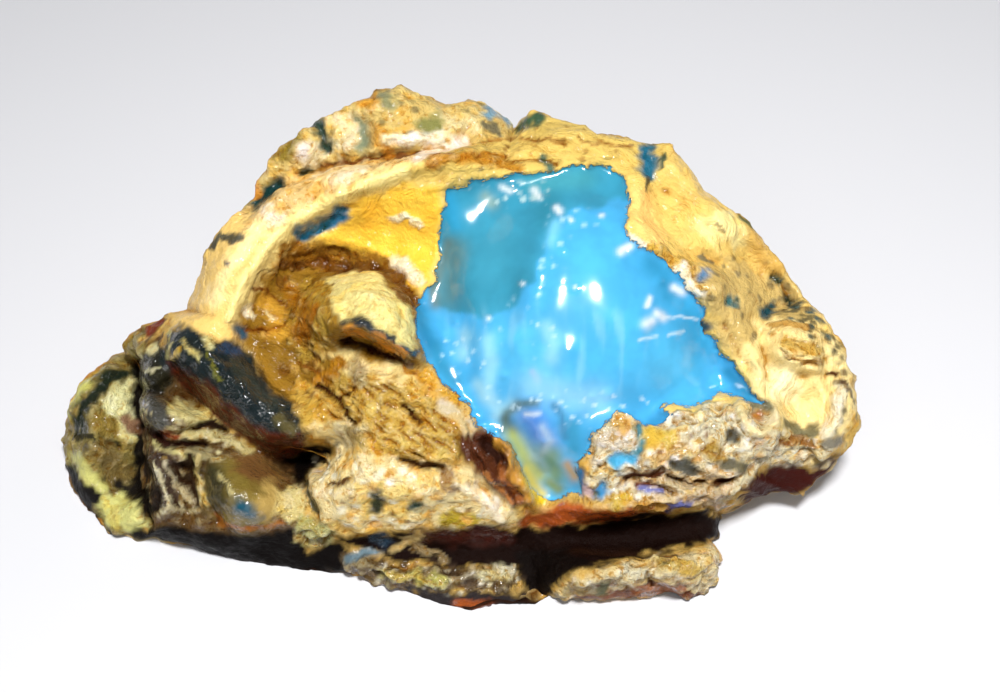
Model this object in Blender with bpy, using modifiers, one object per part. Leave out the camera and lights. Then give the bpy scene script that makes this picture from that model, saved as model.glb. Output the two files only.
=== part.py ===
"""A rough nugget of blue amber: one solid, with its weathered crust grown on it.

The nugget lies on a flat, worn patch of its underside and turns one broad face
up and forward. That face has a pale rim band round a shallow bowl at the left, a
glossy blue window right of the middle where the crust has come away, a tongue and
soft lobes at the left end, a folded ear at the right end, and a crumbly shelf
over a deep recess, with a low foot in front of it.

Most measures are in millimetres on the axes of the show face: across it, up it
and out of it. The middle of the face is FACE_HEIGHT above the resting plane.
Outlines and surface forms are placed by (across, up) as sighted square to the
face from SIGHT_RANGE away, on a plane SIGHT_PLANE out of its middle.
"""

import math

import bmesh
import bpy
import numpy as np
from mathutils import Matrix, Vector, noise
from mathutils.bvhtree import BVHTree

MM = 0.001
TINY = 1e-9
NAME = "rough_amber"

# Overall pose and fineness
FACE_TILT = math.radians(50)
FACE_HEIGHT = 13.0
SIGHT_RANGE = 120.85
SIGHT_PLANE = 1.15
SIGHT_AXIS = 3.5
FINE = 0.55
BALL_SEGMENTS = 48
BALL_RINGS = 32
SOLID_TRIANGLES = 10500
SOFTENING = 10
LAST_SOFTENING = 2
WORN_BLOCK = 120

CRUST_COLOUR = (0.55, 0.36, 0.12)
CRUST_ROUGHNESS = 0.45

# Ellipsoid masses, name: middle (across, up, out), half sizes the same way, turn in degrees
MASSES = {
    "core": ((1, 0, -9), (29, 15, 14), -4),
    "upper_body": ((1, 9, -8), (23, 12, 11), -4),
    "window_mass": ((9, 1, -5), (15, 15, 12.5), 0),
    "crown": ((-6, 15, -7.5), (10.5, 9.5, 8.5), 5),
    "crown_left": ((-13.5, 12.5, -7.5), (6.5, 10, 8.5), -35),
    "crown_right": ((10, 13.5, -7), (12, 8.5, 8), -10),
    "left_rim": ((-19.5, 5.5, -6.5), (6, 11, 9), -28),
    "right_shoulder": ((20, 5, -7), (14, 8.5, 9.5), -48),
    "ear": ((29, -4.5, -4), (6.8, 8.5, 7.5), 8),
    "left_lobe": ((-24.5, -7, -6.5), (6.5, 10, 9), -12),
    "far_left_lobe": ((-32, -9, -10), (6, 8.5, 7.5), 8),
    "tongue": ((-19.2, -4.2, 1.2), (6.6, 2.5, 2.8), -42),
    "lower_left": ((-19, -12.5, -5), (9, 6, 8), -10),
    "belly": ((-5, -8, -3), (15, 9, 9), -18),
    "base": ((-6, -14, -5), (18, 6.5, 8), -8),
    "base_front": ((-2, -18.5, -2), (12, 3.6, 4.6), -8),
    "foot": ((14.5, -18.6, 0), (9, 4.4, 5.6), 5),
    "shelf": ((17, -9, -3), (13, 6.5, 8.5), 6),
    "back": ((2, 6, -17), (25, 12, 8), -4),
    "left_back": ((-22, -4, -12.5), (9, 8, 8), 0),
    "right_back": ((20, 1, -11), (11, 9, 8), -30),
}

# Hollows cut into the masses, on the same axes
HOLLOWS = {
    "recess_under_shelf": ((13.5, -16.5, 5.5), (10.5, 2.3, 5), 4),
    "recess_under_base": ((-2.5, -17.6, 5.5), (8, 1.5, 4.4), -4),
    "under_ear": ((30.5, -17.5, -4), (8, 5, 14), 12),
    "notch_under_tongue": ((-12.8, -9.8, 4), (3.4, 1.6, 6), -25),
}

# Flat breaks that take off what stands past them, name: spot on the break, way it faces.
# Both are across X, to the back Y and up Z, from under the middle of the face.
BREAKS = {
    "back_middle": ((0, 22.5, 8), (0.1, 1, -0.15)),
    "back_left": ((-19, 17, 9), (-0.55, 0.8, 0.15)),
    "back_right": ((19, 17, 9), (0.6, 0.75, 0.1)),
    "back_low": ((6, 17, 2), (0.1, 0.75, -0.65)),
    "crown_back_left": ((-12, 20.5, 16), (-0.3, 0.9, 0.3)),
    "crown_back_right": ((10, 20, 17), (0.25, 0.85, 0.4)),
    "left_low": ((-30, 6, 5), (-0.6, 0.75, 0.25)),
    "left_end": ((-35, -1, 6), (-0.85, 0.3, 0.3)),
    "right_end": ((31, 6, 9), (0.85, 0.45, 0.2)),
    "right_under": ((27, 0, 4), (0.6, 0.1, -0.75)),
}

# Raised (+) and sunk (-) forms of the show face, name: (half width, height, line they follow)
RIM = {
    "band": (3.0, 1.1, [
        (-22.5, 2), (-21, 6), (-18.5, 9.5), (-16, 12), (-12, 14.2), (-7, 15.8), (-2, 17),
    ]),
    "crest": (1.4, 1.5, [
        (-20, 1.5), (-19, 5), (-17, 7.6), (-15.3, 9.9), (-13, 11.8), (-10, 13.4), (-5, 15.4),
        (1, 16.6),
    ]),
    "crack_behind": (0.9, -2.4, [
        (-18, 12), (-16, 14.2), (-13.5, 15.4), (-9, 16.4), (-5, 17), (-1.5, 17.4), (1, 18),
        (4.5, 18.8),
    ]),
}
CROWN = {
    "left_cleft": (0.9, -1.5, [(-12.8, 19.6), (-12, 18.4), (-11.4, 16.8)]),
    "left_knob": (1.7, 1.1, [(-14.6, 17.6), (-13.6, 18.4)]),
    "ridge": (1.6, 1.0, [(-9.2, 20.8), (-6, 21.3), (-2.4, 20.6)]),
    "pale_step": (0.8, 1.1, [(-6.4, 18.1), (-3.4, 18), (-0.8, 18.5)]),
    "dip": (1.5, -1.0, [(-8.6, 18.8), (-4.5, 19.6), (-2, 19.4)]),
    "right_knob": (1.6, 1.2, [(0.6, 19.8), (3.2, 19.4)]),
    "notch": (0.8, -2.0, [(4.9, 20), (5.3, 18.8), (6, 18.3)]),
    "upper_strata": (0.7, 0.9, [(2, 17.8), (6, 18.3), (10, 17.9), (14.5, 17.4)]),
    "strata_gap": (0.6, -0.9, [(2.5, 16.6), (6, 17), (10, 16.6), (13.5, 15.9)]),
}
BOWL = {
    "floor": (4.4, -3.8, [(-12.8, 6.4), (-9.5, 8.6), (-6.6, 8.8)]),
    "lower_floor": (3.4, -2.6, [(-16.5, 3), (-14.5, -0.5), (-13.5, -3.5)]),
    "crescent": (1.2, -2.3, [
        (-15.8, 6.3), (-12.5, 7.4), (-9, 7.3), (-6.4, 6.8), (-4.8, 5), (-3.8, 3),
    ]),
    "pale_lump": (2.3, 4.2, [(-10.8, 3), (-8.6, 4.4), (-6.2, 2.9)]),
    "lump_tail": (1.7, 1.8, [(-12.2, 4.6), (-13, 1.8)]),
    "lip": (0.9, 2.6, [(-10.4, 1.5), (-8.2, 2), (-6.3, 0.7), (-4, -0.9)]),
    "under_lip": (0.9, -2.4, [(-9.8, 0.2), (-7.8, 0.1), (-5.6, -1.1)]),
}
BELLY = {
    "fibrous_swell": (4.5, 1.2, [(-9.5, -3.5), (-2.5, -7.5)]),
    "left_crack": (0.6, -1.4, [(-11.4, -3.6), (-9.4, -6.5)]),
    "middle_crack": (0.6, -1.2, [(-5.4, -5.2), (-3.4, -6.7)]),
    "seam": (0.6, -1.3, [(-5.2, -10.1), (-1, -11)]),
    "lower_swell": (3.6, 1.6, [(-11.5, -12), (-5, -13)]),
    "pale_ridge": (1.0, 1.2, [(-0.5, -11.8), (2, -13.4), (5, -14.9)]),
    "hollow": (1.4, -3.4, [(2, -8.3), (3, -9.9)]),
    "low_hollow": (1.1, -2.2, [(2.6, -11.9), (4.4, -12.9)]),
    "hollow_ridge": (0.7, 1.4, [(3.6, -8), (5, -10.8), (6.3, -13.4)]),
    "hollow_bar": (0.6, 1.4, [(1.4, -10.6), (4.2, -11.9)]),
}
LEFT_END = {
    "tongue": (2.2, 1.2, [(-23.2, -0.4), (-20.6, -2.3), (-18, -4.6), (-15.5, -7.2)]),
    "under_tongue": (1.2, -2.0, [(-24.8, -3.2), (-22, -6), (-19.6, -8.4), (-16.8, -10)]),
    "notch": (1.4, -4.6, [(-15.4, -10.6), (-13.4, -9.8), (-10.8, -9)]),
    "notch_crack": (0.7, -2.0, [(-14.2, -11.8), (-13.2, -13.8), (-12.3, -15.4)]),
    "gap": (1.1, -3.0, [(-28.2, -1), (-28.8, -4), (-28.4, -8), (-28.1, -12.5)]),
    "upper_bulge": (1.8, 1.6, [(-26.6, -2.4)]),
    "second_bulge": (1.7, 1.6, [(-26.2, -5.9)]),
    "bulge_gap": (0.7, -1.6, [(-27.6, -4.2), (-25.2, -4), (-23.6, -5)]),
    "upper_fold": (0.9, 1.5, [(-24.6, -6.6), (-22.4, -6.4), (-20.6, -7.8)]),
    "fold_gap": (0.6, -1.5, [(-26.2, -8.3), (-23.6, -7.8), (-21.4, -8.9)]),
    "lower_fold": (0.9, 1.2, [(-26.4, -9.5), (-23.8, -9.4), (-21, -10)]),
    "upright_fold": (0.8, 1.2, [(-26, -10.8), (-25.2, -13), (-25, -15)]),
    "upright_gap": (0.6, -1.2, [(-24.2, -10.6), (-23.6, -13), (-23.6, -15.2)]),
    "lens": (2.6, 2.4, [(-18.9, -12.8), (-18, -13.6)]),
    "lens_edge": (0.7, -1.4, [(-22.6, -10.8), (-22, -13.6), (-20.8, -16)]),
    "far_ridge": (1.1, 1.4, [(-29.8, -2.6), (-31.6, -5.4), (-32, -9), (-31, -13)]),
    "far_gap": (0.8, -1.2, [(-30.4, -4.8), (-30.2, -8), (-29.6, -11.5)]),
}
RIGHT_END = {
    "outer_rim": (1.5, 1.3, [
        (16.5, 17), (19, 15.2), (21.5, 12.2), (25, 9.8), (27.5, 7.2), (29.5, 4.8),
    ]),
    "valley": (1.7, -1.9, [(17.4, 12.6), (19, 9.6), (22, 7.6), (25, 6.2), (27, 4.2)]),
    "inner_rim": (1.3, 1.4, [(15.8, 14), (15.2, 10.6), (17.4, 8.9), (20, 6.9), (22, 5)]),
    "lower_band": (1.3, 1.2, [(21.8, 5.8), (23.4, 2.2), (24.6, -1), (26.2, -3.8)]),
    "blue_pit": (0.9, -1.1, [(16.3, 17), (16.3, 15)]),
    "first_pit": (0.6, -1.2, [(21.3, 6)]),
    "second_pit": (0.6, -1.2, [(23.6, 4)]),
    "third_pit": (0.7, -1.4, [(26.7, 3.2)]),
    "fourth_pit": (0.6, -1.0, [(28.8, 3.8)]),
    "valley_to_ear": (1.0, -1.6, [(25.6, 2), (26.2, -1), (27.2, -4)]),
    "ear_cap": (1.8, 1.7, [(27.6, 0.8), (29.8, 1.1), (31.4, 0.2)]),
    "ear_crease": (0.7, -1.8, [(27.4, -0.9), (29.4, -2), (31.4, -1.8)]),
    "ear_pocket": (2.2, -3.2, [(29.8, -4.6), (30, -3.6)]),
    "ear_edge": (1.0, 1.5, [(33, -1.4), (33.4, -3.8), (32.8, -6.4), (31.4, -8.4)]),
    "ear_sill": (1.0, 1.4, [(27, -7.8), (29, -8.8), (31.6, -8.8)]),
}
SHELF = {
    "top": (2.6, 1.8, [(12, -9.6), (16, -10.3), (21, -9.8), (25, -8.4)]),
    "groove": (0.8, -1.5, [(14, -12.2), (18, -11.8), (22.4, -11.2)]),
    "brow": (1.1, 2.0, [(8.5, -14.4), (13, -13.7), (17, -13.3), (20.5, -13.2), (23.6, -12)]),
    "curl": (0.8, 2.0, [(24.2, -5), (24.7, -7), (26.2, -7.9), (27.4, -6.7), (27.2, -5.2)]),
    "curl_pit": (0.8, -1.6, [(25.9, -6)]),
    "recess": (1.5, -1.2, [
        (-2, -17.4), (4, -17.4), (8, -17.6), (13, -17), (18, -16.2), (21, -15.8),
    ]),
    "recess_left": (0.9, -1.5, [(-13, -17), (-8, -17.4), (-4, -17.6)]),
    "low_ledge": (0.8, 1.0, [(-9, -18.6), (-6, -19.6), (-1, -20), (3, -19.8)]),
    "foot_top": (1.2, 1.6, [(9.5, -20.6), (12.5, -19.4), (16, -19), (21, -18.6)]),
    "foot_cleft": (0.7, -1.2, [(15.5, -18.4), (14.6, -20.2)]),
}
WINDOW_FORMS = {
    "scoop": (2.0, -2.0, [(-2.4, 9), (-2, 5), (-1, 1.6)]),
    "left_facet": (2.2, -0.9, [(2, 12), (3, 6), (3.5, 2)]),
    "facet_line": (1.3, 0.8, [(10, 14.6), (8.2, 12), (7.4, 9), (6.6, 5), (5, 0.5)]),
    "right_facet": (3.2, 0.8, [(13, 6), (15, 1)]),
    "first_streak": (0.9, 0.6, [(2, 0.5), (2.6, -6)]),
    "second_streak": (0.8, 0.6, [(5.6, -1), (6, -5)]),
    "third_streak": (0.9, 0.6, [(9.4, -0.5), (9.8, -6)]),
    "low_lens": (1.7, 1.2, [(7.2, -6.8), (7.4, -8.6)]),
}
# Edge of the blue window, where the crust ends and the sunk glossy face begins
WINDOW = [
    (-1, 13.8), (3, 14.5), (7, 14.7), (10.5, 15.6), (13.5, 15), (14.6, 12),
    (14.2, 10.3), (16.3, 8), (18.3, 7), (20.5, 4.6), (21, 2), (22.5, -0.8),
    (25, -3.4), (26.8, -5), (22, -4.4), (17.5, -5.6), (16, -7), (13.5, -5.9),
    (11.4, -7.6), (10, -10.6), (9.6, -13), (7, -12.6), (5.2, -9.6), (3.4, -7.7),
    (1.2, -6.6), (-1.5, -2.6), (-3.6, 0.2), (-3.8, 3.8), (-1.9, 5.6), (-1.6, 10.4),
]
WINDOW_DEPTH = 0.7
WINDOW_BEVEL = 0.7

# Edge of the nugget as sighted square to the face, clockwise from the left end
EDGE = [
    (-34.6, -8.2), (-34.1, -5.6), (-33.1, -3.4), (-27.8, 1.8), (-23.9, 3.1),
    (-21.3, 9.7), (-18.3, 13.1), (-16.5, 16.2), (-12.6, 19.7), (-7.4, 22.1),
    (-5.2, 22.4), (-3, 22.1), (-1.3, 21.1), (2.6, 20.7), (4.8, 19.4),
    (6.1, 20.4), (10.9, 19.2), (12, 18.4), (18.1, 17.5), (21.3, 13.6),
    (25.2, 10.8), (29.6, 4.9), (33.3, 0.1), (34.6, -4.7), (33.9, -8.6),
    (32.6, -10.4), (29.6, -13), (25.7, -13.4), (22.8, -14.7), (22.4, -17.3),
    (22.8, -18.6), (21.3, -21.7), (18.3, -21.8), (13.5, -21.8), (9.1, -22.4),
    (6.5, -22.7), (0.9, -23.1), (-7, -20.4), (-19.1, -18.6), (-28.3, -17.1),
    (-31.8, -15.1), (-34.4, -10.4),
]
EDGE_MIDDLE = (-1, -1)
EDGE_RUNS = 12
EDGE_FALL = 3
EDGE_ROUNDS = 3
EDGE_STEPS = 240
EDGE_DEPTHS = (-20, -11)

# Underside: flat inside this outline, across X and back Y, and undercut past it
WORN_PATCH = [
    (-40, 10), (-40, -20), (-12, -30), (23, -30), (20, -10), (16, 2), (8, 9),
    (-8, 10), (-17, 6), (-24, 10),
]
WORN_WASTE = 0.4
UNDERCUT = 4.0
UNDERCUT_RUN = 9.0
UNEVEN = 0.5

# Bedding lines that step round the back and the ends
BEDS = (0.2, 0.35, 1)
BED_SPACING = 5.2
BED_STEP = 0.8
BED_WAVER = 1.5
BED_LIP = 0.85
BED_PATCHES = 8.0
BED_OFFSET = Vector((7, 0, 0))

# Roughness over the whole crust
GRAIN = 5.5
GRAIN_HEIGHT = 0.55
BACK_GRAIN = 11.0
BACK_GRAIN_HEIGHT = 1.5
FACING = (0.05, 0.4)
CLEARANCE = 1.0


def face_axes():
    """Axes of the show face: across, up and out, set at its middle."""
    s, c = math.sin(FACE_TILT), math.cos(FACE_TILT)
    axes = Matrix(((1, 0, 0), (0, s, -c), (0, c, s))).to_4x4()
    return Matrix.Translation((0, 0, FACE_HEIGHT * MM)) @ axes


FACE = face_axes()


def new_object(name, mesh, collection):
    obj = bpy.data.objects.new(name, mesh)
    collection.objects.link(obj)
    return obj


def ellipsoids(collection, name, table):
    """One mesh object that holds every ellipsoid of the table."""
    mesh = bpy.data.meshes.new(name)
    bm = bmesh.new()
    for middle, halves, turn in table.values():
        place = (
            FACE
            @ Matrix.Translation(Vector(middle) * MM)
            @ Matrix.Rotation(math.radians(turn), 4, "Z")
            @ Matrix.Diagonal(Vector(halves) * MM).to_4x4()
        )
        bmesh.ops.create_uvsphere(
            bm, u_segments=BALL_SEGMENTS, v_segments=BALL_RINGS, radius=1, matrix=place
        )
    bm.to_mesh(mesh)
    bm.free()
    return new_object(name, mesh, collection)


def voxel_skin(obj, size):
    """Joins overlapping shells into one closed skin."""
    skin = obj.modifiers.new("skin", "REMESH")
    skin.mode = "VOXEL"
    skin.voxel_size = size * MM


def soften(obj, rounds):
    smooth = obj.modifiers.new("soften", "SMOOTH")
    smooth.iterations = rounds


def cut(obj, cutter):
    boolean = obj.modifiers.new("cut", "BOOLEAN")
    boolean.operation = "DIFFERENCE"
    boolean.solver = "EXACT"
    boolean.object = cutter


def settle(obj):
    """Makes the shaped surface the object's own mesh."""
    graph = bpy.context.evaluated_depsgraph_get()
    shaped = bpy.data.meshes.new_from_object(obj.evaluated_get(graph))
    obj.modifiers.clear()
    obj.data = shaped
    shaped.name = obj.name


def read_points(mesh):
    """(points, normals) of the mesh on the face axes, points in millimetres."""
    points = np.empty(len(mesh.vertices) * 3)
    mesh.vertices.foreach_get("co", points)
    normals = np.empty(len(mesh.vertices) * 3)
    mesh.vertices.foreach_get("normal", normals)
    turn = np.array(FACE.to_3x3())
    start = np.array(FACE.translation)
    points = (points.reshape(-1, 3) - start) @ turn / MM
    return points, normals.reshape(-1, 3) @ turn


def write_points(mesh, points):
    turn = np.array(FACE.to_3x3())
    start = np.array(FACE.translation)
    mesh.vertices.foreach_set("co", (points * MM @ turn.T + start).ravel())
    mesh.update()


def sighted(points):
    """Where each point appears on the face when sighted square to it."""
    scale = SIGHT_RANGE / (SIGHT_RANGE + SIGHT_PLANE - points[:, 2:])
    middle = np.array([[SIGHT_AXIS, 0]])
    return middle + (points[:, :2] - middle) * scale


def ramp(value, low, high):
    """Eases from 0 at low to 1 at high."""
    share = np.clip((value - low) / (high - low), 0, 1)
    return share * share * (3 - 2 * share)


def edge_reach(angles):
    """Distance from EDGE_MIDDLE to the nugget's edge at each angle."""
    fine = []
    for start, end in zip(EDGE, EDGE[1:] + EDGE[:1]):
        steps = np.linspace(0, 1, EDGE_RUNS, endpoint=False)[:, None]
        fine.append(np.array(start) * (1 - steps) + np.array(end) * steps)
    spots = np.concatenate(fine) - EDGE_MIDDLE
    around = np.arctan2(spots[:, 1], spots[:, 0])
    order = np.argsort(around)
    reach = np.hypot(spots[:, 0], spots[:, 1])
    return np.interp(angles, around[order], reach[order], period=2 * math.pi)


def fit_edge(points):
    """Draws the masses out or in so that they meet the nugget's edge."""
    spots = sighted(points) - EDGE_MIDDLE
    around = np.arctan2(spots[:, 1], spots[:, 0])
    reach = np.hypot(spots[:, 0], spots[:, 1])
    step = ((around + math.pi) / (2 * math.pi) * EDGE_STEPS).astype(int) % EDGE_STEPS
    widest = np.zeros(EDGE_STEPS)
    np.maximum.at(widest, step, reach)
    middles = (np.arange(EDGE_STEPS) + 0.5) / EDGE_STEPS * 2 * math.pi - math.pi
    beside = (np.roll(widest, 1), widest, np.roll(widest, -1))
    widest = np.max(beside, axis=0) / 2 + np.mean(beside, axis=0) / 2
    present = np.interp(around, middles, widest, period=2 * math.pi)
    wanted = edge_reach(around)
    share = np.clip(reach / present, 0, 1) ** EDGE_FALL
    share *= ramp(points[:, 2], *EDGE_DEPTHS)
    stretch = 1 + (wanted / present - 1) * share
    middle = np.array([EDGE_MIDDLE]) - np.array([[SIGHT_AXIS, 0]])
    spots = spots * stretch[:, None] + middle
    scale = SIGHT_RANGE / (SIGHT_RANGE + SIGHT_PLANE - points[:, 2:])
    moved = points.copy()
    moved[:, :2] = spots / scale + np.array([[SIGHT_AXIS, 0]])
    return moved


def distance_to_line(spots, line):
    """Distance of each spot from a line of straight runs, or from a single spot."""
    nearest = np.full(len(spots), np.inf)
    for start, end in zip(line, line[1:] or line):
        start = np.array(start, float)
        run = np.array(end, float) - start
        along = (spots - start) @ run / max(run @ run, TINY)
        foot = start + np.clip(along, 0, 1)[:, None] * run
        nearest = np.minimum(nearest, np.hypot(*(spots - foot).T))
    return nearest


def inside(spots, outline):
    """True for each spot within the closed outline."""
    within = np.zeros(len(spots), bool)
    for (x0, y0), (x1, y1) in zip(outline, outline[1:] + outline[:1]):
        spans = (y0 > spots[:, 1]) != (y1 > spots[:, 1])
        crossing = x0 + (spots[:, 1] - y0) * (x1 - x0) / ((y1 - y0) or TINY)
        within ^= spans & (spots[:, 0] < crossing)
    return within


def show_face_relief(spots):
    """Height of the named forms at each spot of the show face."""
    height = np.zeros(len(spots))
    for region in (RIM, CROWN, BOWL, BELLY, LEFT_END, RIGHT_END, SHELF, WINDOW_FORMS):
        for width, rise, line in region.values():
            height += rise * np.exp(-((distance_to_line(spots, line) / width) ** 2))
    depth = distance_to_line(spots, WINDOW + WINDOW[:1])
    depth[~inside(spots, WINDOW)] *= -1
    return height - WINDOW_DEPTH * ramp(depth, -WINDOW_BEVEL, WINDOW_BEVEL)


def open_in_front(mesh, points):
    """1 for each point with nothing of the nugget in front of it, else 0."""
    bm = bmesh.new()
    bm.from_mesh(mesh)
    tree = BVHTree.FromBMesh(bm)
    bm.free()
    eye = FACE @ (Vector((SIGHT_AXIS, 0, SIGHT_RANGE)) * MM)
    clear = np.ones(len(points))
    for i, vertex in enumerate(mesh.vertices):
        toward = (eye - vertex.co).normalized()
        start = vertex.co + toward * CLEARANCE * MM
        clear[i] = tree.ray_cast(start, toward)[0] is None
    return clear


def shape_show_face(mesh):
    points, normals = read_points(mesh)
    spots = sighted(points)
    share = ramp(normals[:, 2], *FACING) * open_in_front(mesh, points)
    points[:, 2] += show_face_relief(spots) * share
    write_points(mesh, points)


def break_flat(mesh):
    """Takes the back and the ends down to their flat breaks."""
    bm = bmesh.new()
    bm.from_mesh(mesh)
    for spot, facing in BREAKS.values():
        bmesh.ops.bisect_plane(
            bm,
            geom=bm.verts[:] + bm.edges[:] + bm.faces[:],
            plane_co=Vector(spot) * MM,
            plane_no=Vector(facing).normalized(),
            clear_outer=True,
        )
        open_edges = [edge for edge in bm.edges if edge.is_boundary]
        bmesh.ops.holes_fill(bm, edges=open_edges, sides=0)
    bmesh.ops.triangulate(bm, faces=bm.faces[:])
    bm.to_mesh(mesh)
    bm.free()


def roughen(mesh):
    """Broken, lumpy grain: coarse round the back, finer on the show face."""
    points, normals = read_points(mesh)
    back = 1 - ramp(normals[:, 2], *FACING)
    window = inside(sighted(points), WINDOW) & (normals[:, 2] > 0)
    rise = np.empty(len(points))
    beds = Vector(BEDS).normalized()
    for i, point in enumerate(points):
        broad = noise.noise(Vector(point) / BACK_GRAIN)
        fine = noise.noise(Vector(point) / GRAIN)
        layer = (Vector(point).dot(beds) / BED_SPACING + BED_WAVER * broad) % 1
        rise[i] = back[i] * BACK_GRAIN_HEIGHT * (0.5 - abs(broad))
        if layer > BED_LIP:
            layer *= (1 - layer) / (1 - BED_LIP)
        patch = 0.5 + noise.noise(Vector(point) / BED_PATCHES + BED_OFFSET)
        rise[i] += back[i] * BED_STEP * layer * max(patch, 0) * 2
        rise[i] += GRAIN_HEIGHT * fine * (not window[i])
    write_points(mesh, points + normals * rise[:, None])


def level_underside(mesh):
    """Brings everything lower up to just below the resting plane."""
    for vertex in mesh.vertices:
        vertex.co.z = max(vertex.co.z, -WORN_WASTE * MM)
    mesh.update()


def lift_underside(mesh):
    """Leaves only the worn patch low; the rest of the underside rises away from it."""
    corners = np.empty(len(mesh.vertices) * 3)
    mesh.vertices.foreach_get("co", corners)
    corners = corners.reshape(-1, 3)
    spots = corners[:, :2] / MM
    away = distance_to_line(spots, WORN_PATCH + WORN_PATCH[:1])
    away[inside(spots, WORN_PATCH)] = 0
    bumps = [noise.noise(Vector(corner) / (GRAIN * MM)) for corner in corners]
    rise = ramp(away, 0, UNDERCUT_RUN) * UNDERCUT * (1 + UNEVEN * np.array(bumps))
    corners[:, 2] = np.maximum(corners[:, 2], (rise - WORN_WASTE) * MM)
    mesh.vertices.foreach_set("co", corners.ravel())
    mesh.update()


def clear_scene():
    for obj in list(bpy.data.objects):
        bpy.data.objects.remove(obj)


def new_collection(name):
    collection = bpy.data.collections.new(name)
    bpy.context.scene.collection.children.link(collection)
    return collection


def hide(cutter):
    cutter.hide_render = True
    cutter.display_type = "WIRE"


def joined_masses(solids, helpers):
    amber = ellipsoids(solids, NAME, MASSES)
    hollows = ellipsoids(helpers, "hollows", HOLLOWS)
    hide(hollows)
    voxel_skin(hollows, FINE)
    voxel_skin(amber, FINE)
    cut(amber, hollows)
    voxel_skin(amber, FINE)
    settle(amber)
    return amber


def faceted(amber):
    """Fewer, larger facets, kept small where the surface turns sharply."""
    triangles = sum(len(face.vertices) - 2 for face in amber.data.polygons)
    fewer = amber.modifiers.new("facets", "DECIMATE")
    fewer.ratio = SOLID_TRIANGLES / triangles
    fewer.use_collapse_triangulate = True
    settle(amber)


def rest_flat(amber, helpers):
    """Wears the underside flat on the resting plane."""
    mesh = bpy.data.meshes.new("resting_plane")
    bm = bmesh.new()
    bmesh.ops.create_cube(bm, size=WORN_BLOCK * MM)
    bmesh.ops.translate(bm, verts=bm.verts, vec=(0, 0, -WORN_BLOCK / 2 * MM))
    bm.to_mesh(mesh)
    bm.free()
    block = new_object("resting_plane", mesh, helpers)
    hide(block)
    cut(amber, block)
    settle(amber)


def centre(mesh):
    """Puts the middle of the footprint on the origin."""
    corners = np.empty(len(mesh.vertices) * 3)
    mesh.vertices.foreach_get("co", corners)
    corners = corners.reshape(-1, 3)
    middle = (corners.min(axis=0) + corners.max(axis=0)) / 2
    mesh.transform(Matrix.Translation((-middle[0], -middle[1], 0)))


def crust_material():
    material = bpy.data.materials.new("amber_crust")
    material.use_nodes = True
    principled = material.node_tree.nodes["Principled BSDF"]
    principled.inputs["Base Color"].default_value = (*CRUST_COLOUR, 1)
    principled.inputs["Roughness"].default_value = CRUST_ROUGHNESS
    principled.inputs["Metallic"].default_value = 0
    return material


def main():
    clear_scene()
    solids = new_collection("rough blue amber")
    helpers = new_collection("cutters")
    amber = joined_masses(solids, helpers)
    break_flat(amber.data)
    voxel_skin(amber, FINE)
    soften(amber, SOFTENING)
    settle(amber)
    roughen(amber.data)
    for _ in range(EDGE_ROUNDS):
        level_underside(amber.data)
        points, _ = read_points(amber.data)
        write_points(amber.data, fit_edge(points))
    lift_underside(amber.data)
    shape_show_face(amber.data)
    voxel_skin(amber, FINE)
    soften(amber, LAST_SOFTENING)
    settle(amber)
    faceted(amber)
    rest_flat(amber, helpers)
    centre(amber.data)
    amber.data.materials.append(crust_material())


main()
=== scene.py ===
"""Rough blue amber, dressed: fine crust, broken edges, wet resin and their colours.

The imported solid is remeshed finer, given its small relief and painted. Lengths are in
millimetres, apart from those of the surroundings. Places on the show face are (across, up),
as sighted square to the face. Colours in whole numbers are sRGB from 0 to 255. A pair whose
name ends in EDGE holds the depths at which something begins and is in full, and one that
ends in RANGE holds such values of a noise.
"""

import math

import bmesh
import bpy
import numpy as np
from mathutils import Matrix, Vector, noise
from mathutils.bvhtree import BVHTree


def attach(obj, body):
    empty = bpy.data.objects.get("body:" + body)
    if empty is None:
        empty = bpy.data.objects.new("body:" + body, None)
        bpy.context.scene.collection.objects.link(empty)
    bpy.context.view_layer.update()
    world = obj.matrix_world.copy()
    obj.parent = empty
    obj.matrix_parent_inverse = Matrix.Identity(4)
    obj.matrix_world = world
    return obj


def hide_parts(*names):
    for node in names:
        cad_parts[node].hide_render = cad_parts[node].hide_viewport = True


MM = 0.001
TINY = 1e-9
FULL_TURN = 2 * math.pi
NODE = "rough_amber"
PIECE = "amber_nugget"

# Show face: how it tilts, where its middle is, and how it is sighted
FACE_TILT = math.radians(50)
FACE_MIDDLE = Vector((1.182, -2.975, 13.0)) * MM
SIGHT_RANGE = 120.85
SIGHT_PLANE = 1.15
SIGHT_AXIS = 3.5
SIGHT_MIDDLE = np.array([SIGHT_AXIS, 0])
CAMERA_LENS = 50
SENSOR = 36
CLIP_START = 5

# Skin: its fineness, how it is evened out, and which of it counts as the front
SKIN = 0.52
SAME_PLACE = 0.001
RELAX = (0.6, -0.62)
SKIN_ROUNDS = 9
FRONT_ROUNDS = 3
FRONT_FACING = 0.05
FACING = (0.0, 0.3)
FACING_ROUNDS = 4
CLEARANCE = 1.0

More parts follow.
